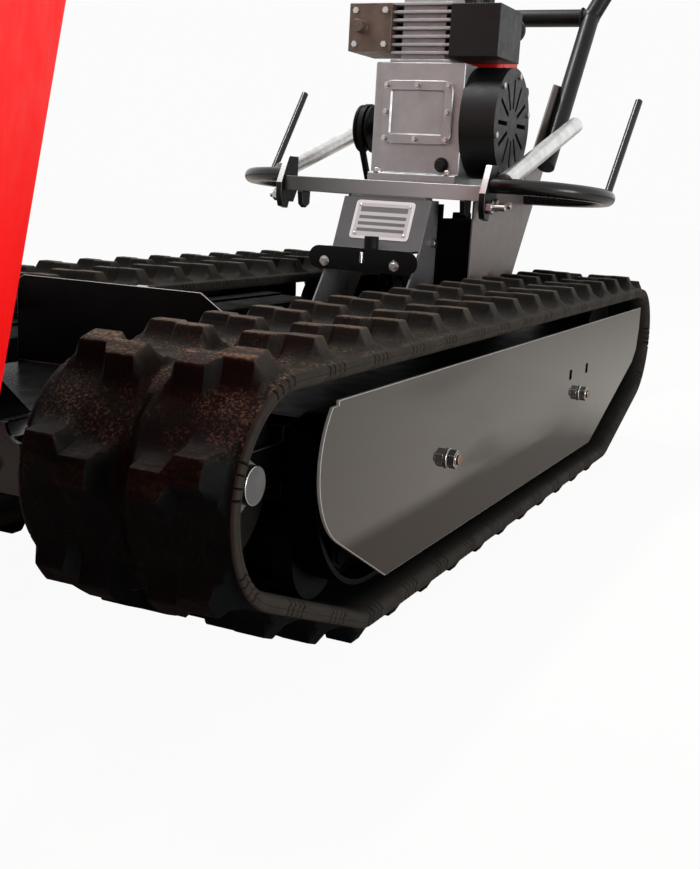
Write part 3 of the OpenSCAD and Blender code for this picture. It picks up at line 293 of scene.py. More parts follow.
warm = (1.0, 0.945, 0.875)  # tint of the guard plate's sheen
finish = dict(
    track=trackRubber(rubberLook, rubberNoise),
    guard=paintedSheet("guardGrey", (0.0150, 0.0132, 0.0110), rough=0.045, spread=0.05, peel=0.004,
                       peelScale=320.0, tint=warm, ior=1.47),
    panel=paintedSheet("panelGrey", (0.135, 0.116, 0.111), rough=0.34, spread=0.06, peel=0.03, dust=0.04,
                       spec=0.35),
    pedestal=paintedSheet("pedestalGrey", (0.093, 0.091, 0.093), spread=0.08, peel=0.04, peelScale=240.0,
                          dust=0.04),
    black=paintedSheet("frameBlack", (0.0030, 0.0030, 0.0032), rough=0.36, peelScale=240.0, dust=0.02,
                       spec=0.22),
    # painted shade: darker than the frame black, for the track frames and idler forks that sit in shade
    # inside the tracks
    shade=paintedSheet("paintedShadeBlack", (0.0011, 0.0011, 0.0012), rough=0.45, peelScale=240.0, dust=0.006,
                       spec=0.04),
    bulkhead=paintedSheet("bulkheadBlack", (0.0030, 0.0029, 0.0028), rough=0.36, spread=0.15, peel=0.03,
                          peelScale=220.0, dust=0.01, spec=0.12),
    front=paintedSheet("frontPlateBlack", (0.0045, 0.0043, 0.0042), rough=0.22, peel=0.08, peelScale=150.0,
                       dust=0.03, spec=0.3),
    red=paintedSheet("bedRed", (0.97, 0.0050, 0.0050), rough=0.48, spread=0.03, peel=0.06, peelScale=420.0,
                     spec=0.16),
    # painted reflection: the bar darkens towards its left end, standing in for the dimmer surroundings it
    # reflects there
    bar=paintedSheet("barGrey", (0.52, 0.53, 0.535), rough=0.34, spread=0.08, peel=0.03, dust=0.02, metal=0.4,
                     fade=(-0.14, 0.10, 0.15)),
    hoop=paintedSheet("hoopBlack", (0.004, 0.004, 0.0045), rough=0.24, spread=0.1, peel=0.03, spec=0.4),
    shelf=paintedSheet("shelfBlack", (0.0025, 0.0025, 0.0027), rough=0.2, spread=0.1, peel=0.03, spec=0.25),
    zinc=platedMetal("zincPlate", (0.58, 0.58, 0.565), rough=0.24),
    nut=platedMetal("darkNut", (0.17, 0.17, 0.168), rough=0.14, tint=(0.2, 0.19, 0.17)),
    stay=platedMetal("brightTube", (0.86, 0.86, 0.85), rough=0.34, grain=(40.0, 40.0, 40.0),
                     tint=(0.86, 0.85, 0.83)),
    rust=castMetal("rustyEnd", (0.20, 0.085, 0.040), rough=0.7, metal=0.2),
    cutSteel=castMetal("cutSteel", (0.10, 0.10, 0.098), metal=0.5),
    iron=castMetal("wheelIron", (0.006, 0.0058, 0.0056), rough=0.6, metal=0.4, pits=420.0, spec=0.1),
    alloy=castMetal("dieCastAlloy", (0.40, 0.405, 0.41), rough=0.46, metal=0.85, pits=520.0, spread=0.09),
    exhaust=castMetal("heatedSteel", (0.15, 0.115, 0.095), rough=0.5, metal=0.8),
    plate=evenSheet("plateWhite", (0.93, 0.925, 0.915), 0.02, peel=0.02),
    field=evenSheet("plateGrey", (0.66, 0.655, 0.65), 0.05, peel=0.02),
    row=evenSheet("plateDark", (0.16, 0.16, 0.163), 0.1, peel=0.02),
    rubber=mouldedPlastic("plainRubber", (0.006, 0.006, 0.006), rough=0.62, texture=380.0, bump=0.2,
                          spec=0.15),
    plastic=mouldedPlastic("blackPlastic", (0.006, 0.006, 0.0063), rough=0.42, texture=700.0),
    boxBlack=mouldedPlastic("boxBlack", (0.0005, 0.0005, 0.0005), rough=0.6, bump=0.08, spec=0.05),
    redPlastic=mouldedPlastic("redPlastic", (0.55, 0.012, 0.010), rough=0.3, bump=0.06),
)
# edges paler than the sheet they end: some wear, mostly a painted highlight
edgeWearAndHighlight = dict(
    guard=evenSheet("guardEdge", (0.42, 0.41, 0.385), 0.25),
    panel=evenSheet("panelEdge", (0.17, 0.155, 0.15), 0.2),
    pedestal=evenSheet("pedestalEdge", (0.15, 0.145, 0.145), 0.2),
    bulkhead=evenSheet("bulkheadEdge", (0.90, 0.90, 0.89), 0.3),
    front=evenSheet("frontEdge", (0.045, 0.043, 0.041), 0.4, rough=0.3),
    black=evenSheet("blackEdge", (0.018, 0.018, 0.018), 0.4),
    nut=platedMetal("nutEdge", (0.9, 0.9, 0.88), rough=0.2),
    shade=evenSheet("rimEdge", (0.03, 0.029, 0.027), 0.4, spec=0.15),
)
# finish and record slot of every node
nodeFinish = dict(
    guard=("panel_grey", ["guard_plate_left", "guard_plate_right"]),
    panel=("panel_grey", ["side_panels"]),
    pedestal=("panel_grey", ["pedestal"]),
    black=("frame_black", ["cross_tubes", "main_rails", "bed_ribs", "bar_brackets", "engine_deck", "gearbox",
                           "handlebars"]),
    shade=("frame_black", ["track_frame_left", "track_frame_right", "idler_forks"]),
    bulkhead=("frame_black", ["bulkhead"]),
    front=("frame_black", ["front_frame"]),
    red=("bed_red", ["bed_tub"]),
    bar=("bar_metal", ["cross_bar"]),
    hoop=("frame_black", ["guard_hoop"]),
    shelf=("black_plastic", ["rest_shelf"]),
    zinc=("zinc", ["wheel_axles", "drive_shaft_left", "drive_shaft_right", "hinge_pins", "bed_latch",
                   "frame_bolts"]),
    nut=("zinc", ["guard_bolts"]),
    stay=("zinc", ["handle_stays"]),
    iron=("wheel_iron", ["roller_left_front", "roller_left_middle", "roller_left_rear", "roller_right_front",
                         "roller_right_middle", "roller_right_rear", "idler_left", "idler_right",
                         "sprocket_left", "sprocket_right", "engine_pulley", "gearbox_pulley"]),
    alloy=("engine_alloy", ["crankcase", "cylinder_head"]),
    exhaust=("exhaust_steel", ["muffler"]),
    plate=("bare_plate", ["data_plate"]),
    rubber=("bumper_rubber", ["rest_bumper", "drive_belt", "grips"]),
    plastic=("black_plastic", ["fan_cover", "recoil_grip", "fuel_cap", "air_cleaner", "steer_lever_left",
                               "steer_lever_right", "gear_lever"]),
    boxBlack=("black_plastic", ["shift_box"]),
    redPlastic=("red_plastic", ["fuel_tank", "clutch_lever", "throttle_lever"]),
    track=("track_rubber", ["track_left", "track_right"]),
)
finishOf = {n: finish[key] for key, (slot, names) in nodeFinish.items() for n in names}
edgeOf = {n: edgeWearAndHighlight.get(key, finish[key]) for key, (slot, names) in nodeFinish.items() for n in names}
bodyOf = {n: body for body, names in frame["record"]["behaviour"]["bodies"].items() for n in names}
for n, mat in finishOf.items():
    nodes[n].data.materials.clear()
    nodes[n].data.materials.append(mat)
print("finishes set", len(finish))


# shared mesh work
def addObject(name, me):
    ob = bpy.data.objects.new(name, me)
    scene.collection.objects.link(ob)
    return ob


def settle(ob):  # turns live modifiers into a plain mesh
    me = bpy.data.meshes.new_from_object(ob.evaluated_get(bpy.context.evaluated_depsgraph_get()))
    ob.modifiers.clear()
    ob.data = me


def meshPiece(name, verts, faces, mat, body="machine", smooth=True):
    me = bpy.data.meshes.new(name)
    me.from_pydata([tuple(v) for v in verts], [], [tuple(f) for f in faces])
    me.validate()
    me.materials.append(mat)
    ob = addObject(name, me)
    bm = bmesh.new()
    bm.from_mesh(me)
    bmesh.ops.recalc_face_normals(bm, faces=bm.faces)
    bm.to_mesh(me)
    bm.free()
    if smooth:
        me.polygons.foreach_set("use_smooth", [True] * len(me.polygons))
    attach(ob, body)
    return ob


# rigid nodes again with their edges eased, widths in mm
edgeWidths = dict(
    guard_plate_left=1.1, guard_plate_right=1.1, front_frame=0.8, bulkhead=1.7, cross_bar=1.6,
    bar_brackets=0.9, pedestal=0.9, rest_shelf=0.9, side_panels=0.7, engine_deck=0.8, gearbox=2.0,
    track_frame_left=0.8, track_frame_right=0.8, shift_box=1.6, crankcase=2.4, muffler=3.0, air_cleaner=4.0,
    cylinder_head=0.7, guard_bolts=1.1, wheel_axles=1.3, frame_bolts=1.0, hinge_pins=0.8, cross_tubes=1.2,
    main_rails=1.2, bed_ribs=0.9, idler_forks=0.9, drive_shaft_left=1.0, drive_shaft_right=1.0)
easing = dict(merge=2e-6, flat=0.5, fold=30.0, edge=40.0, segments=2)  # metres, then degrees


def pieceName(node):
    first, *others = node.split("_")
    return first + "".join(w.title() for w in others)


def easeEdges(node, width, e):
    me = nodes[node].data.copy()
    bm = bmesh.new()
    bm.from_mesh(me)
    bmesh.ops.remove_doubles(bm, verts=bm.verts, dist=e["merge"])
    bmesh.ops.dissolve_limit(bm, angle_limit=math.radians(e["flat"]), verts=bm.verts, edges=bm.edges)
    for f in bm.faces:
        f.smooth = True
    for line in bm.edges:  # round walls stay smooth, folds stay crisp
        line.smooth = len(line.link_faces) == 2 and line.calc_face_angle(0.0) < math.radians(e["fold"])
    bm.to_mesh(me)
    bm.free()
    me.name = pieceName(node)
    # the bevels take the edge colour, on most pieces paler than the sheet: a painted highlight with some wear
    me.materials.append(edgeOf[node])
    ob = addObject(pieceName(node), me)
    mod = ob.modifiers.new("edge", "BEVEL")
    mod.width = width / mm
    mod.segments = e["segments"]
    mod.limit_method = "ANGLE"
    mod.angle_limit = math.radians(e["edge"])
    mod.harden_normals = True
    mod.material = 1
    settle(ob)
    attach(ob, bodyOf[node])
    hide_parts(node)
    return ob


eased = {node: easeEdges(node, width, easing) for node, width in edgeWidths.items()}
print("edges eased on", len(edgeWidths), "nodes")

# faces that get a finish of their own: how far they turn to an axis, places in metres
bareFaces = dict(
    axleLow=0.12, axleTurn=0.95, studDepth=0.0015, studTurn=0.9, rimTurn=0.6, strapAhead=0.6, strapUp=0.25)
# slots beside the rear studs, places along and up and half their size in mm
plateSlots = dict(at=((191.0, 164.0), (271.0, 164.0)), half=8.0)


def refinish(node, mat, test):
    me = eased[node].data
    if mat.name not in me.materials:
        me.materials.append(mat)
    index = me.materials.find(mat.name)
    for f in me.polygons:
        if test(f):
            f.material_index = index


# faces in the slots take the black shade finish, a painted shade in the openings
def inSlot(f):
    away = [max(abs(f.center.y * mm - y), abs(f.center.z * mm - z)) for y, z in plateSlots["at"]]
    return min(away) < plateSlots["half"]


def refinishAll(b):
    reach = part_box("guard_bolts")[1].x - b["studDepth"]
    # idler axles end in sawn faces; roller axles are painted black, a painted shade where they sit inside the
    # tracks
    refinish("wheel_axles", finish["cutSteel"], lambda f: abs(f.normal.x) > b["axleTurn"])
    refinish("wheel_axles", finish["shade"], lambda f: f.center.z < b["axleLow"])
    for node in ("guard_plate_left", "guard_plate_right"):  # the rims take the pale edge colour, a painted highlight; faces in the slots are painted black, a painted shade
        refinish(node, edgeOf[node], lambda f: abs(f.normal.x) < b["rimTurn"])
        refinish(node, finish["shade"], inSlot)
    # the leaning front edges of the bar's brackets take the bright plated finish, the cut studs have rusted
    refinish("bar_brackets", finish["stay"],
             lambda f: f.normal.y < -b["strapAhead"] and f.normal.z > b["strapUp"])
    refinish("guard_bolts", finish["rust"],
             lambda f: abs(f.center.x) > reach and abs(f.normal.x) > b["studTurn"])


refinishAll(bareFaces)

# tracks: one moulded belt per side, swept round the four wheels, sizes in mm
trackSizes = dict(
    width=180.0, belt=14.0, lug=19.0, count=35, height=273.0, wheelBase=1120.0, wheelR=72.6, rollerR=45.0,
    frontSet=150.0, rearSet=160.0, gap=0.4, phase=42.0, gauge=440.0, jog=5.0, jogFrom=41.0, jogTo=49.0,
    jogDepth=8.0, ticks=4, tick=8.0, tickDepth=1.8, tickHalf=1.2, tickBand=8.0, tickTop=1.0, tickFoot=9.0,
    tickLow=12.0, tickDip=0.8, slit=3.0, slitHalf=1.0, slitFrom=22.0, crestLine=3.5, fold=30.0)
# a lug's two ends: distance across and the most that it may rise there
lugEnds = [(0, 0), (3, 0), (5.5, 0.3), (7.2, 1.1), (8.8, 2.8), (10.3, 5.4), (16.7, 17.2), (17.3, 18.5),
           (18.0, 19), (29, 19), (41, 19), (45, 19), (49, 19), (60, 19), (72.0, 19), (72.7, 18.5),
           (73.3, 17.2), (79.7, 5.4), (81.2, 2.8), (82.8, 1.1), (84.4, 0.3), (86.2, 0)]
# the belt's rounded edge with its groove: distance in from the edge, depth below the outer face
beltEdge = [(2.2, 0.15), (0.9, 0.8), (0.2, 2.0), (0, 3.6), (0, 4.6), (0.5, 5.2), (0, 5.8), (0.2, 7.4),
            (0.9, 9.2), (2.2, 11.0), (4.2, 12.5), (6.8, 13.5)]
# the inner face with the groove for the wheels' teeth: distance across, height above the inner face
beltInside = [(80, 0), (60, 0), (18.6, 0), (17.8, 1), (17.2, 6)]
# height of a lug at a distance from its middle along the belt: flat crest, then a hollow flank
lugFlank = [(6.8, 19), (7.5, 18.6), (8.2, 17.3), (10.4, 12.8), (13.2, 8.6), (16.4, 5.0), (20.0, 2.5),
            (24.5, 1.0), (30.0, 0.25), (35.0, 0)]
# sand and the pale layer: where they start along the track, how rise and facing thin them out
trackDirtAndLight = dict(
    start=60.0, span=380.0, sand=1.6, farSand=0.16, frontSand=0.04, crestRise=18.0, valleyRise=2.6,
    # the pale layer's share by rise is highest at the crests' edges, a painted highlight line
    valleySand=0.8, flankSand=0.25, paleShareRise=(0, 2, 6, 16.7, 17.5, 18.5, 19),
    veil=(0.36, 0.38, 0.5, 0.55, 1.0, 1.0, 0.85), fade=1.5, upright=0.4, ahead=0.85, edge=0.4,
    edgeBand=12.0)


def loopPath(t):
    wheelZ = t["height"] - t["lug"] - t["belt"] - t["gap"] - t["wheelR"]
    rollerZ = t["lug"] + t["belt"] + t["gap"] + t["rollerR"]
    half, rollerR, wheelR = t["wheelBase"] / 2, t["rollerR"] + t["gap"], t["wheelR"] + t["gap"]
    wheels = [(t["frontSet"] - half, rollerZ, rollerR), (half - t["rearSet"], rollerZ, rollerR),
              (half, wheelZ, wheelR), (-half, wheelZ, wheelR)]

    def facing(i):
        a, b = wheels[i], wheels[(i + 1) % 4]
        dy, dz = b[0] - a[0], b[1] - a[1]
        return math.atan2(dz, dy) - math.acos((a[2] - b[2]) / math.hypot(dy, dz))

    runs = []
    for i in range(4):
        f, a, b = facing(i), wheels[i], wheels[(i + 1) % 4]
        start = (a[0] + a[2] * math.cos(f), a[1] + a[2] * math.sin(f))
        end = (b[0] + b[2] * math.cos(f), b[1] + b[2] * math.sin(f))
        runs.append(("line", math.dist(start, end), start, f))
        turn = (facing((i + 1) % 4) - f + 4 * math.pi) % (2 * math.pi)
        runs.append(("bend", turn * (b[2] + t["belt"] / 2), b, f, turn))
    return runs


def placeOnLoop(runs, s):
    total = sum(r[1] for r in runs)
    s = np.mod(s, total)
    y, z, n = np.zeros_like(s), np.zeros_like(s), np.zeros_like(s)
    done = 0.0
    for kind, length, at, f, *turn in runs:
        on = (s >= done) & (s < done + length)
        d = s[on] - done
        if kind == "line":
            y[on], z[on], n[on] = at[0] - d * math.sin(f), at[1] + d * math.cos(f), f
        else:
            a = f + turn[0] * d / length
            y[on], z[on], n[on] = at[0] + at[2] * np.cos(a), at[1] + at[2] * np.sin(a), a
        done += length
    return y, z, n


# cross section of the belt: distance across, depth below the outer face, most that a lug may rise there
def trackProfile(t):
    half, belt = t["width"] / 2, t["belt"]
    outer = [(-v, 0.0, h) for v, h in reversed(lugEnds[1:])] + [(v, 0.0, h) for v, h in lugEnds]
    right = [(half - v, d, 0) for v, d in beltEdge] + [(v, belt - h, 0) for v, h in beltInside]
    return np.array(outer + right + [(-v, d, h) for v, d, h in reversed(right)]), len(outer)


def trackForm(t):
    runs = loopPath(t)
    pitch = sum(r[1] for r in runs) / t["count"]
    upper = sum(r[1] for r in runs[:4])  # where the upper run starts
    tickAt = [(k - (t["ticks"] - 1) / 2) * t["tick"] for k in range(t["ticks"])]
    ticks = [c + o for c in tickAt for o in (-t["tickHalf"], 0, t["tickHalf"])]
    flanks = [s * d for s in (-1, 1) for d, h in lugFlank]
    lines = sorted(set(ticks + flanks + [-pitch / 2, -t["crestLine"], t["crestLine"]]))
    profile, outerCount = trackProfile(t)
    v, depth, endRise = (profile[None, :, k] for k in range(3))  # a row: the points of one section
    isOuter = np.arange(len(profile))[None, :] < outerCount
    jog = np.interp(np.abs(v), [t["jogFrom"], t["jogTo"]], [t["jog"], -t["jog"]])
    shift = np.where(depth > t["jogDepth"], 0.0, jog)
    d = np.array([[l] for k in range(t["count"]) for l in lines])  # a column: the sections along the belt
    centre = np.array([[upper + t["phase"] + k * pitch] for k in range(t["count"]) for l in lines])
    flank = np.interp(np.abs(d), [0] + [a for a, h in lugFlank], [t["lug"]] + [h for a, h in lugFlank])
    rise = np.minimum(flank, endRise) * isOuter
    slit = (np.abs(v) < t["slitHalf"]) & (np.abs(d) > t["slitFrom"]) & isOuter
    fromEdge = t["width"] / 2 - np.abs(v)
    ticked = np.isin(np.round(d, 3), np.round(tickAt, 3)) & (fromEdge < t["tickBand"]) & (depth > 0)
    across = v - np.sign(v) * t["tickDepth"] * (ticked & (depth < t["tickLow"]))
    offset = t["belt"] - depth + rise - t["slit"] * slit
    offset = offset - t["tickDip"] * t["tickDepth"] * (ticked & (depth < t["tickTop"]))
    offset = offset + t["tickDepth"] * (ticked & (depth > t["tickFoot"]))
    y, z, n = placeOnLoop(runs, centre + d + shift)
    return dict(y=y, z=z, n=n, across=across, offset=offset, rise=rise, ticked=ticked, isOuter=isOuter,
                fromEdge=fromEdge)


def soilAndLightTrack(ob, form, t, d):
    y, n, rise, isOuter = form["y"], form["n"], form["rise"], form["isOuter"]
    normal = np.zeros(y.size * 3, np.float32)
    ob.data.vertices.foreach_get("normal", normal)
    normal = normal.reshape(-1, 3)
    up, front = np.clip(np.sin(n), 0, 1), np.clip(-np.cos(n), 0, 1)  # how far the belt looks up and forward
    flat = np.clip(normal[:, 2], 0, 1).reshape(y.shape)  # how far the surface itself does
    ahead = np.clip(-normal[:, 1], 0, 1).reshape(y.shape)
    near = np.clip((-y - d["start"]) / d["span"], 0, 1)  # sand lies thickest on the front
    lie = np.where(rise > d["crestRise"], 1.0,
                   np.where(rise < d["valleyRise"], d["valleySand"], d["flankSand"]))
    laid = d["sand"] * up * flat ** 2 * (d["farSand"] + (1 - d["farSand"]) * near)
    dust = (laid + front * d["frontSand"] * near) * lie * isOuter
    # painted light and shade: the pale layer is strongest on upward faces and at the crests' edges, weaker on
    # faces turned forward and gone in the ticks; the rest of it is dust
    veil = np.interp(rise, d["paleShareRise"], d["veil"])
    facing = (d["upright"] + (1 - d["upright"]) * flat) * (1 - d["ahead"] * ahead)
    rim = d["edge"] * (form["fromEdge"] < d["edgeBand"])
    film = np.where(isOuter, up ** d["fade"] * veil * facing, rim)
    film = np.where(form["ticked"], 0.0, film)
    for name, values in (("crest", rise / t["lug"]), ("dust", dust), ("film", film)):
        layer = ob.data.attributes.new(name, "FLOAT", "POINT")
        layer.data.foreach_set("value", np.clip(values.reshape(-1), 0, 1).astype(np.float32))


def buildTrack(side, t, dirt):
    form = trackForm(t)
    x = side * (t["gauge"] / 2 + form["across"])
    y = form["y"] + form["offset"] * np.cos(form["n"])
    z = form["z"] + form["offset"] * np.sin(form["n"])
    rings, count = x.shape
    i, j = np.meshgrid(np.arange(rings), np.arange(count), indexing="ij")
    i2, j2 = (i + 1) % rings, (j + 1) % count
    faces = np.stack([i * count + j, i2 * count + j, i2 * count + j2, i * count + j2], -1).reshape(-1, 4)
    verts = np.stack([x, y, z], -1).reshape(-1, 3) / mm
    name = "rubberTrackRight" if side > 0 else "rubberTrackLeft"
    ob = meshPiece(name, verts, faces, finish["track"])
    soilAndLightTrack(ob, form, t, dirt)
    ob.data.set_sharp_from_angle(angle=math.radians(t["fold"]))
    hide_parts("track_right" if side > 0 else "track_left")
    print("track", side, len(ob.data.polygons), "quads")


for side in (-1, 1):
    buildTrack(side, trackSizes, trackDirtAndLight)


# node trees: a tree's named inputs are set on the modifier by socket identifier
def startTree(name, sizes):
    tree = bpy.data.node_groups.new(name, "GeometryNodeTree")
    tree.interface.new_socket("Geometry", in_out="INPUT", socket_type="NodeSocketGeometry")
    for key, value in sizes.items():
        kind = "NodeSocketInt" if isinstance(value, int) else "NodeSocketFloat"
        tree.interface.new_socket(key, in_out="INPUT", socket_type=kind).default_value = value
    tree.interface.new_socket("Geometry", in_out="OUTPUT", socket_type="NodeSocketGeometry")
    return tree, tree.nodes.new("NodeGroupInput"), tree.nodes.new("NodeGroupOutput")


def endTree(tree, geometry, out, mat):
    real = tree.nodes.new("GeometryNodeRealizeInstances")
    setMat = tree.nodes.new("GeometryNodeSetMaterial")
    setMat.inputs["Material"].default_value = mat
    tree.links.new(geometry, real.inputs["Geometry"])
    tree.links.new(real.outputs["Geometry"], setMat.inputs["Geometry"])
    tree.links.new(setMat.outputs["Geometry"], out.inputs["Geometry"])


def liftBy(tree, geometry, height):
    vec = tree.nodes.new("ShaderNodeCombineXYZ")
    move = tree.nodes.new("GeometryNodeTransform")
    tree.links.new(height, vec.inputs["Z"])
    tree.links.new(geometry, move.inputs["Geometry"])
    tree.links.new(vec.outputs["Vector"], move.inputs["Translation"])
    return move.outputs["Geometry"]


# bolt heads: washer, many-sided head and its chamfer on every vertex, standing along the vertex's facing
boltForm = dict(washerSides=20, chamfer=0.3)


def boltTree(name, sizes, mat):
    tree, inp, out = startTree(name, sizes)
    o = inp.outputs

    def times(a, b):
        return mathNode(tree, "MULTIPLY", a, b)

    washer = addNode(tree, "GeometryNodeMeshCylinder", Vertices=boltForm["washerSides"])
    head = tree.nodes.new("GeometryNodeMeshCylinder")
    top = tree.nodes.new("GeometryNodeMeshCone")
    for value, part, socket in ((o["sides"], head, "Vertices"), (o["sides"], top, "Vertices"),
                                (o["washer"], washer, "Radius"), (o["thick"], washer, "Depth"),
                                (o["head"], head, "Radius"), (o["rise"], head, "Depth"),
                                (o["head"], top, "Radius Bottom"),
                                (times(o["head"], o["crown"]), top, "Radius Top"),
                                (times(o["rise"], boltForm["chamfer"]), top, "Depth")):
        tree.links.new(value, part.inputs[socket])
    join = tree.nodes.new("GeometryNodeJoinGeometry")
    for part, height in ((washer, times(o["thick"], 0.5)),
                         (head, mathNode(tree, "ADD", o["thick"], times(o["rise"], 0.5))),
                         (top, mathNode(tree, "ADD", o["thick"], o["rise"]))):
        tree.links.new(liftBy(tree, part.outputs["Mesh"], height), join.inputs["Geometry"])
    facing = tree.nodes.new("GeometryNodeInputNamedAttribute")
    facing.data_type = "FLOAT_VECTOR"
    facing.inputs["Name"].default_value = "facing"
    turn = tree.nodes.new("FunctionNodeAlignRotationToVector")
    turn.axis = "Z"
    tree.links.new(facing.outputs["Attribute"], turn.inputs["Vector"])
    put = tree.nodes.new("GeometryNodeInstanceOnPoints")
    tree.links.new(o["Geometry"], put.inputs["Points"])
    tree.links.new(join.outputs["Geometry"], put.inputs["Instance"])
    tree.links.new(turn.outputs["Rotation"], put.inputs["Rotation"])
    endTree(tree, put.outputs["Instances"], out, mat)
    return tree


# weld: overlapping ripples along every edge, each a little different
weldForm = dict(segments=8, rings=5, least=0.82, most=1.12, seed=4)


def weldTree(name, sizes, mat):
    tree, inp, out = startTree(name, sizes)
    o = inp.outputs
    curve = tree.nodes.new("GeometryNodeMeshToCurve")
    even = tree.nodes.new("GeometryNodeResampleCurve")
    even.mode = "LENGTH"
    tree.links.new(o["Geometry"], curve.inputs["Mesh"])
    tree.links.new(curve.outputs["Curve"], even.inputs["Curve"])
    tree.links.new(o["step"], even.inputs["Length"])
    drop = addNode(tree, "GeometryNodeMeshUVSphere", Segments=weldForm["segments"], Rings=weldForm["rings"])
    tree.links.new(o["radius"], drop.inputs["Radius"])
    vary = tree.nodes.new("FunctionNodeRandomValue")
    vary.data_type = "FLOAT"
    for socket, value in (("Min", weldForm["least"]), ("Max", weldForm["most"])):
        [s for s in vary.inputs if s.name == socket and s.type == "VALUE"][0].default_value = value
    vary.inputs["Seed"].default_value = weldForm["seed"]
    put = tree.nodes.new("GeometryNodeInstanceOnPoints")
    tree.links.new(even.outputs["Curve"], put.inputs["Points"])
    tree.links.new(drop.outputs["Mesh"], put.inputs["Instance"])
    tree.links.new([s for s in vary.outputs if s.type == "VALUE"][0], put.inputs["Scale"])
    endTree(tree, put.outputs["Instances"], out, mat)
    return tree


def growNodes(ob, tree, sizes, body):
    mod = ob.modifiers.new("grow", "NODES")
    mod.node_group = tree
    for item in tree.interface.items_tree:
        if item.item_type == "SOCKET" and item.in_out == "INPUT" and item.name in sizes:
            mod[item.identifier] = sizes[item.name]
    settle(ob)
    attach(ob, body)
    print(ob.name, len(ob.data.polygons), "faces")


def boltSet(name, places, sizes, mat=finish["zinc"], body="machine"):
    me = bpy.data.meshes.new(name)
    me.from_pydata([p for p, way in places], [], [])
    facing = me.attributes.new("facing", "FLOAT_VECTOR", "POINT")
    facing.data.foreach_set("vector", [c for p, way in places for c in way])
    sizes = {k: v if k in ("sides", "crown") else v / mm for k, v in sizes.items()}
    growNodes(addObject(name, me), boltTree(name + "Nodes", sizes, mat), sizes, body)


def weldSet(name, paths, sizes, mat, body):
    verts, edges = [], []
    for path in paths:
        edges += [(len(verts) + k, len(verts) + k + 1) for k in range(len(path) - 1)]
        verts += path
    me = bpy.data.meshes.new(name)
    me.from_pydata(verts, edges, [])
    sizes = {k: v / mm for k, v in sizes.items()}
    growNodes(addObject(name, me), weldTree(name + "Nodes", sizes, mat), sizes, body)


# fasteners, sizes in mm
engineBolt = dict(sides=6, head=5.2, rise=4.2, washer=7.0, thick=1.2, crown=0.84)
frameBolt = dict(sides=6, head=7.4, rise=5.4, washer=10.5, thick=1.6, crown=0.84)
coverScrew = dict(sides=16, head=4.6, rise=2.2, washer=4.6, thick=0.4, crown=0.6)
bedBolt = dict(sides=20, head=8.0, rise=2.4, washer=8.4, thick=0.4, crown=0.55)
# their places in metres from the box of the piece that carries them, the gearbox's as they are
engineSpots = dict(
    flangeUp=0.014, flangeLeft=0.018, flangeRight=0.014, flangeIn=0.006, mufflerIn=0.01, mufflerBack=0.022,
    headSide=0.022, headIn=0.02)
fanSpots = dict(ring=0.070, first=15, step=60, count=6)
frameSpots = dict(
    gearboxBack=0.642, gearboxSide=0.058, gearboxMiddle=0.02, gearboxUp=(0.119, 0.167, 0.215, 0.258),
    frontAcross=(-0.09, -0.03, 0.03, 0.09), frontUp=0.018, footSide=0.1, footAhead=0.018, footBack=0.02,
    footUp=0.003)
upward, backward, forward, rightward = (0, 0, 1), (0, 1, 0), (0, -1, 0), (1, 0, 0)


def faceGrid(xs, ys, zs, way):
    return [((x, y, z), way) for x in xs for y in ys for z in zs]


def engineBolts(e):
    low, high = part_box("crankcase")
    places = faceGrid((low.x + e["flangeLeft"], high.x - e["flangeRight"]),
                      (low.y + e["flangeIn"], high.y - e["flangeIn"]), (low.z + e["flangeUp"],), upward)
    low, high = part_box("muffler")
    places += faceGrid((low.x + e["mufflerIn"], high.x - e["mufflerIn"]), (low.y + e["mufflerBack"],),
                       (low.z + e["mufflerIn"], high.z - e["mufflerIn"]), forward)
    low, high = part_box("cylinder_head")
    places += faceGrid((low.x + e["headSide"], high.x - e["headSide"]),
                       (low.y + e["headIn"], high.y - e["headIn"]), (high.z,), upward)
    boltSet("engineBolts", places, engineBolt)


def fanScrews(f):
    low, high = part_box("fan_cover")
    middle = (low + high) / 2
    turns = [math.radians(f["first"] + f["step"] * k) for k in range(f["count"])]
    places = [((high.x, middle.y + f["ring"] * math.cos(a), middle.z + f["ring"] * math.sin(a)), rightward)
              for a in turns]
    boltSet("coverScrews", places, coverScrew)


def frameBolts(f):
    side, middle, back, rows = f["gearboxSide"], f["gearboxMiddle"], (f["gearboxBack"],), f["gearboxUp"]
    places = faceGrid((-side, side), back, rows, backward)
    places += faceGrid((-middle, middle), back, (rows[-1], rows[0]), backward)
    low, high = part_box("front_frame")
    places += faceGrid(f["frontAcross"], (low.y,), (low.z + f["frontUp"],), forward)
    low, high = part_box("pedestal")
    places += faceGrid((-f["footSide"], f["footSide"]), (low.y + f["footAhead"], high.y - f["footBack"]),
                       (low.z + f["footUp"],), upward)
    boltSet("frameBoltHeads", places, frameBolt)


engineBolts(engineSpots)
fanScrews(fanSpots)
frameBolts(frameSpots)

# bed floor bolts into the two ribs, placed on the tipped bed, metres and degrees
bedPlace = dict(
    hinge=(-0.619, 0.228), tip=75.8, floor=0.322, rows=(-0.058, 0.058), start=-0.63, step=0.13, count=6)


def bedBolts(b):
    sine, cosine = math.sin(math.radians(b["tip"])), math.cos(math.radians(b["tip"]))
    hingeY, hingeZ = b["hinge"]

    def tipped(x, y, z):
        dy, dz = y - hingeY, z - hingeZ
        return (x, hingeY + dy * cosine - dz * sine, hingeZ + dy * sine + dz * cosine)

    places = [(tipped(x, b["start"] + k * b["step"], b["floor"]), (0, -sine, cosine))
              for x in b["rows"] for k in range(b["count"])]
    boltSet("bedFloorBolts", places, bedBolt, finish["red"], "bed")


bedBolts(bedPlace)

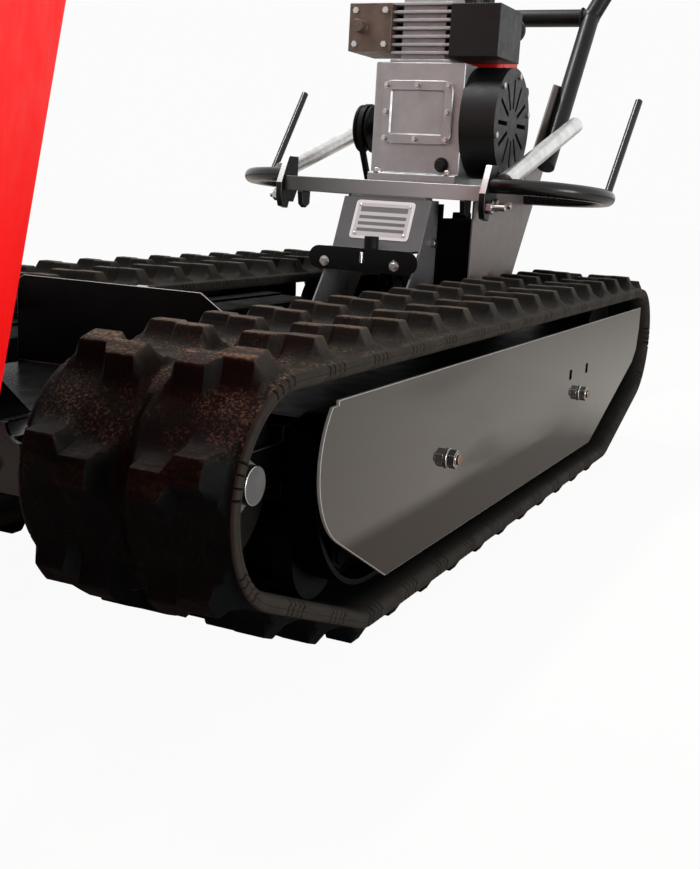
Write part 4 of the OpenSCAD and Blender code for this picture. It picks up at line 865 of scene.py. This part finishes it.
# weld beads at the hinge brackets, the pedestal's foot and the cross tube, sizes in mm, places in metres
weldSizes = dict(radius=2.6, step=1.9)
weldPlaces = dict(
    deckUp=0.003, hingeAcross=(0.0655, 0.0745), hingeAlong=(-0.629, -0.561), footAcross=0.0675,
    footFrom=0.161, footIn=0.001, tube=(0.1255, 0.745, 0.678), tubeR=0.0145, tubeSteps=24)


def welds(w):
    low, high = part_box("pedestal")
    deck = low.z + w["deckUp"]
    paths = [[(s * x, y, deck) for y in w["hingeAlong"]] for s in (-1, 1) for x in w["hingeAcross"]]
    footAlong = (w["footFrom"], high.y - w["footIn"])
    paths += [[(s * w["footAcross"], y, deck) for y in footAlong] for s in (-1, 1)]
    turns = [math.radians(360 / w["tubeSteps"] * k) for k in range(w["tubeSteps"] + 1)]
    (x, y, z), r = w["tube"], w["tubeR"]
    paths += [[(s * x, y + r * math.cos(a), z + r * math.sin(a)) for a in turns] for s in (-1, 1)]
    weldSet("weldBeads", paths, weldSizes, finish["black"], "machine")


welds(weldPlaces)

# black sheet between the pedestal's back and the shift box, a painted shade that fills the dark gap there,
# sizes in mm
shadeFillSheet = dict(left=40.0, gap=0.2, back=0.5, thick=2.0, low=235.0, high=366.0)


def makeShadeFillSheet(c):
    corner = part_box("shift_box")[0] * mm
    xs, zs = (c["left"], corner.x - c["gap"]), (c["low"], c["high"])
    ys = (corner.y + c["back"], corner.y + c["back"] + c["thick"])
    verts = [Vector((x, y, z)) / mm for x in xs for y in ys for z in zs]
    faces = [(0, 1, 3, 2), (4, 6, 7, 5), (0, 4, 5, 1), (2, 3, 7, 6), (0, 2, 6, 4), (1, 5, 7, 3)]
    meshPiece("shadeFillSheet", verts, faces, finish["boxBlack"], smooth=False)


makeShadeFillSheet(shadeFillSheet)

# data plate, left bare: white rim, grey field, plain rows and four rivets, sizes in mm
dataPlate = dict(
    width=90.0, height=58.0, foot=241.0, head=272.0, low=301.0, high=370.0, up=4.0, corner=5.0, rim=4.2,
    fieldCorner=2.5, rowCorner=1.0, rivetIn=7.5, rimLayer=(0.05, 0.7), fieldLayer=(0.66, 0.78),
    rowLayer=(0.74, 0.82),
    rows=(((0, 15.5), (72, 8)), ((0, 3.5), (72, 5)), ((0, -6.0), (72, 5)), ((0, -15.5), (72, 5))))
plateRivet = dict(sides=14, head=1.7, rise=0.7, washer=1.8, thick=0.1, crown=0.6)


def roundedOutline(size, corner):
    outline = []
    for k, (sx, su) in enumerate(((1, 1), (-1, 1), (-1, -1), (1, -1))):
        for a in (math.radians(90 * k + 15 * q) for q in range(7)):
            outline.append((sx * (size[0] / 2 - corner) + corner * math.cos(a),
                            su * (size[1] / 2 - corner) + corner * math.sin(a)))
    return outline


def joinRings(count, n):  # quads between rings of n points each, and a face on either end
    faces = [(i * n + k, i * n + (k + 1) % n, (i + 1) * n + (k + 1) % n, (i + 1) * n + k)
             for i in range(count - 1) for k in range(n)]
    return faces + [tuple(range(n)), tuple(range((count - 1) * n, count * n))]


def plateAxes(p):  # middle of the pedestal's sloping face, the way up it and the way out of it
    slope = math.atan2(p["high"] - p["low"], p["head"] - p["foot"])
    base = Vector((0, (p["foot"] + p["head"]) / 2, (p["low"] + p["high"]) / 2))
    return base, Vector((0, math.cos(slope), math.sin(slope))), Vector((0, -math.sin(slope), math.cos(slope)))


def roundedSheet(p, name, mat, centre, size, corner, layers):
    base, along, out = plateAxes(p)
    outline = [(centre[0] + x, centre[1] + u) for x, u in roundedOutline(size, corner)]
    verts = [(base + Vector((x, 0, 0)) + along * (u + p["up"]) + out * w) / mm
             for w in layers for x, u in outline]
    faces = joinRings(len(layers), len(outline))
    return meshPiece(name, verts, faces, mat, smooth=False)


def makeDataPlate(p):
    w, h, rim = p["width"], p["height"], p["rim"]
    plate = roundedSheet(p, "dataPlateRim", finish["plate"], (0, 0), (w, h), p["corner"], p["rimLayer"])
    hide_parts("data_plate")
    roundedSheet(p, "dataPlateField", finish["field"], (0, 0), (w - 2 * rim, h - 2 * rim), p["fieldCorner"],
                 p["fieldLayer"])
    for k, (at, size) in enumerate(p["rows"]):
        roundedSheet(p, "dataPlateField" + str(k + 1), finish["row"], at, size, p["rowCorner"], p["rowLayer"])
    base, along, out = plateAxes(p)
    halfW, halfH = w / 2 - p["rivetIn"], h / 2 - p["rivetIn"]
    spots = [base + Vector((sx * halfW, 0, 0)) + along * (su * halfH + p["up"]) + out * p["rimLayer"][1]
             for sx in (-1, 1) for su in (-1, 1)]
    boltSet("plateRivets", [(tuple(q / mm), tuple(out)) for q in spots], plateRivet)


makeDataPlate(dataPlate)

# cast cover on the crankcase's front face with its screws, and the oil plug below it, sizes in mm
engineCover = dict(
    width=108.0, height=88.0, thick=5.0, ease=1.2, corner=16.0, innerCorner=2.0, root=0.3, rim=13.0,
    slope=2.0, sink=2.5, up=8.0, screwIn=7.0, plugAt=42.0, plugUp=14.0, fold=30.0)
caseBody = dict(ahead=12.0, foot=14.0, side=4.0)  # how far the crankcase's body stands inside its box
coverBolt = dict(sides=6, head=3.8, rise=3.0, washer=5.0, thick=0.8, crown=0.84)
oilPlug = dict(sides=6, head=8.0, rise=7.0, washer=10.5, thick=2.0, crown=0.84)


def makeEngineCover(c, body):
    low, high = (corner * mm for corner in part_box("crankcase"))
    mid = Vector(((low.x + body["side"] + high.x) / 2, low.y + body["ahead"],
                  (low.z + body["foot"] + high.z) / 2 + c["up"]))
    steps = ((0, -c["root"]), (0, c["thick"] - c["ease"]), (c["ease"], c["thick"]), (c["rim"], c["thick"]),
             (c["rim"] + c["slope"], c["thick"] - c["sink"]))
    verts = []
    for inset, out in steps:
        size = (c["width"] - 2 * inset, c["height"] - 2 * inset)
        ring = roundedOutline(size, max(c["corner"] - inset, c["innerCorner"]))
        verts += [(mid + Vector((x, -out, z))) / mm for x, z in ring]
    faces = joinRings(len(steps), len(verts) // len(steps))
    ob = meshPiece("engineCover", verts, faces, finish["alloy"])
    ob.data.set_sharp_from_angle(angle=math.radians(c["fold"]))
    w, h = c["width"] / 2 - c["screwIn"], c["height"] / 2 - c["screwIn"]
    spots = [(x, z) for x in (-w, 0, w) for z in (-h, h)] + [(-w, 0), (w, 0)]
    places = [(tuple((mid + Vector((x, -c["thick"], z))) / mm), forward) for x, z in spots]
    boltSet("engineCoverBolts", places, coverBolt)
    plug = Vector((mid.x + c["plugAt"], mid.y, low.z + body["foot"] + c["plugUp"])) / mm
    boltSet("oilPlug", [(tuple(plug), forward)], oilPlug, finish["plastic"])


makeEngineCover(engineCover, caseBody)

# ribbed grips, turned about the tube, sizes in mm
gripSizes = dict(
    half=230.0, height=900.0, start=877.0, end=997.0, tube=14.05, radius=18.0, collar=6.0, ribFrom=7.0,
    plain=16.0, ribs=14, rib=1.6, floorShare=0.4, rampShare=0.55, crestShare=0.9,
    nose=((5.0, 0.0), (1.2, 1.5), (0.0, 5.0)), tip=0.4, sides=40, fold=40.0)


def gripProfile(g):
    start, end, full = g["start"], g["end"], g["radius"]
    rows = [(start, g["tube"]), (start, full), (start + g["collar"], full)]
    pitch = (end - start - g["plain"]) / g["ribs"]
    for y in (start + g["ribFrom"] + k * pitch for k in range(g["ribs"])):
        rows += [(y, full - g["rib"]), (y + pitch * g["floorShare"], full - g["rib"]),
                 (y + pitch * g["rampShare"], full), (y + pitch * g["crestShare"], full)]
    return rows + [(end - back, full - drop) for back, drop in g["nose"]] + [(end, g["tip"])]


def makeGrips(g):
    rows, sides = gripProfile(g), g["sides"]
    turns = [2 * math.pi * k / sides for k in range(sides)]
    verts, faces = [], []
    for side in (-1, 1):
        faces += [tuple(len(verts) + k for k in f) for f in joinRings(len(rows), sides)]
        verts += [((side * g["half"] + r * math.cos(a)) / mm, y / mm, (g["height"] + r * math.sin(a)) / mm)
                  for y, r in rows for a in turns]
    ob = meshPiece("ribbedGrips", verts, faces, finish["rubber"])
    ob.data.set_sharp_from_angle(angle=math.radians(g["fold"]))
    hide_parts("grips")


makeGrips(gripSizes)
print("details made")

# floor and light, sizes in metres, power in watts
stageSizes = dict(
    floor=40.0, drop=0.0008, tone=(0.9, 0.85, 0.785), cloud=(3.0, 4.0), darker=0.985, rough=0.9, glow=0.95,
    white=0.968, fill=0.28)
studioLights = dict(topLight=dict(place=(-1.3, 0.2, 3.2), aim=(0, 0, 0.2), size=(2.0, 0.06), power=92),
                    rightLight=dict(place=(3.2, -0.7, 0.55), aim=(0, -0.4, 0.5), size=(1.2, 0.9), power=64))


# the eye sees a glowing white floor with a faint shadow, mirrors and other light a plain pale one
def makeStage(t):
    mat, tree, bsdf = startMaterial("paleFloor")
    tree.links.new(driftTone(tree, t["tone"], t["cloud"], t["darker"], 1.0), bsdf.inputs["Base Color"])
    setInputs(bsdf, Roughness=t["rough"], Specular_IOR_Level=0.0)
    glow = tree.nodes.new("ShaderNodeEmission")
    path = tree.nodes.new("ShaderNodeLightPath")
    mix = tree.nodes.new("ShaderNodeMixShader")
    tree.links.new(mathNode(tree, "MULTIPLY", path.outputs["Is Camera Ray"], t["glow"]), mix.inputs["Fac"])
    tree.links.new(bsdf.outputs["BSDF"], mix.inputs[1])
    tree.links.new(glow.outputs["Emission"], mix.inputs[2])
    tree.links.new(mix.outputs["Shader"], tree.nodes["Material Output"].inputs["Surface"])
    half, z = t["floor"] / 2, -t["drop"]
    me = bpy.data.meshes.new("floor")
    corners = [(-half, -half, z), (half, -half, z), (half, half, z), (-half, half, z)]
    me.from_pydata(corners, [], [(0, 1, 2, 3)])
    me.materials.append(mat)
    addObject("floor", me)


def softLight(name, place, aim, size, power):
    data = bpy.data.lights.new(name, "AREA")
    data.shape = "RECTANGLE"
    data.size, data.size_y = size
    data.energy = power
    ob = bpy.data.objects.new(name, data)
    ob.location = place
    ob.rotation_euler = (Vector(aim) - Vector(place)).to_track_quat("-Z", "Y").to_euler()
    scene.collection.objects.link(ob)


# white to the eye, in mirrors and through glass, a soft fill for all other light
def makeWorld(t):
    world = bpy.data.worlds.new("studio")
    scene.world = world
    world.use_nodes = True
    tree = world.node_tree
    back = tree.nodes["Background"]
    back.inputs["Color"].default_value = (1, 1, 1, 1)
    path = tree.nodes.new("ShaderNodeLightPath").outputs
    mirrored = mathNode(tree, "MAXIMUM", path["Is Glossy Ray"], path["Is Transmission Ray"])
    seen = mathNode(tree, "MAXIMUM", path["Is Camera Ray"], mirrored)
    strength = mathNode(tree, "MULTIPLY_ADD", seen, t["white"] - t["fill"], t["fill"])
    tree.links.new(strength, back.inputs["Strength"])


makeStage(stageSizes)
makeWorld(stageSizes)
for name, light in studioLights.items():
    softLight(name, **light)
print("stage and light set")
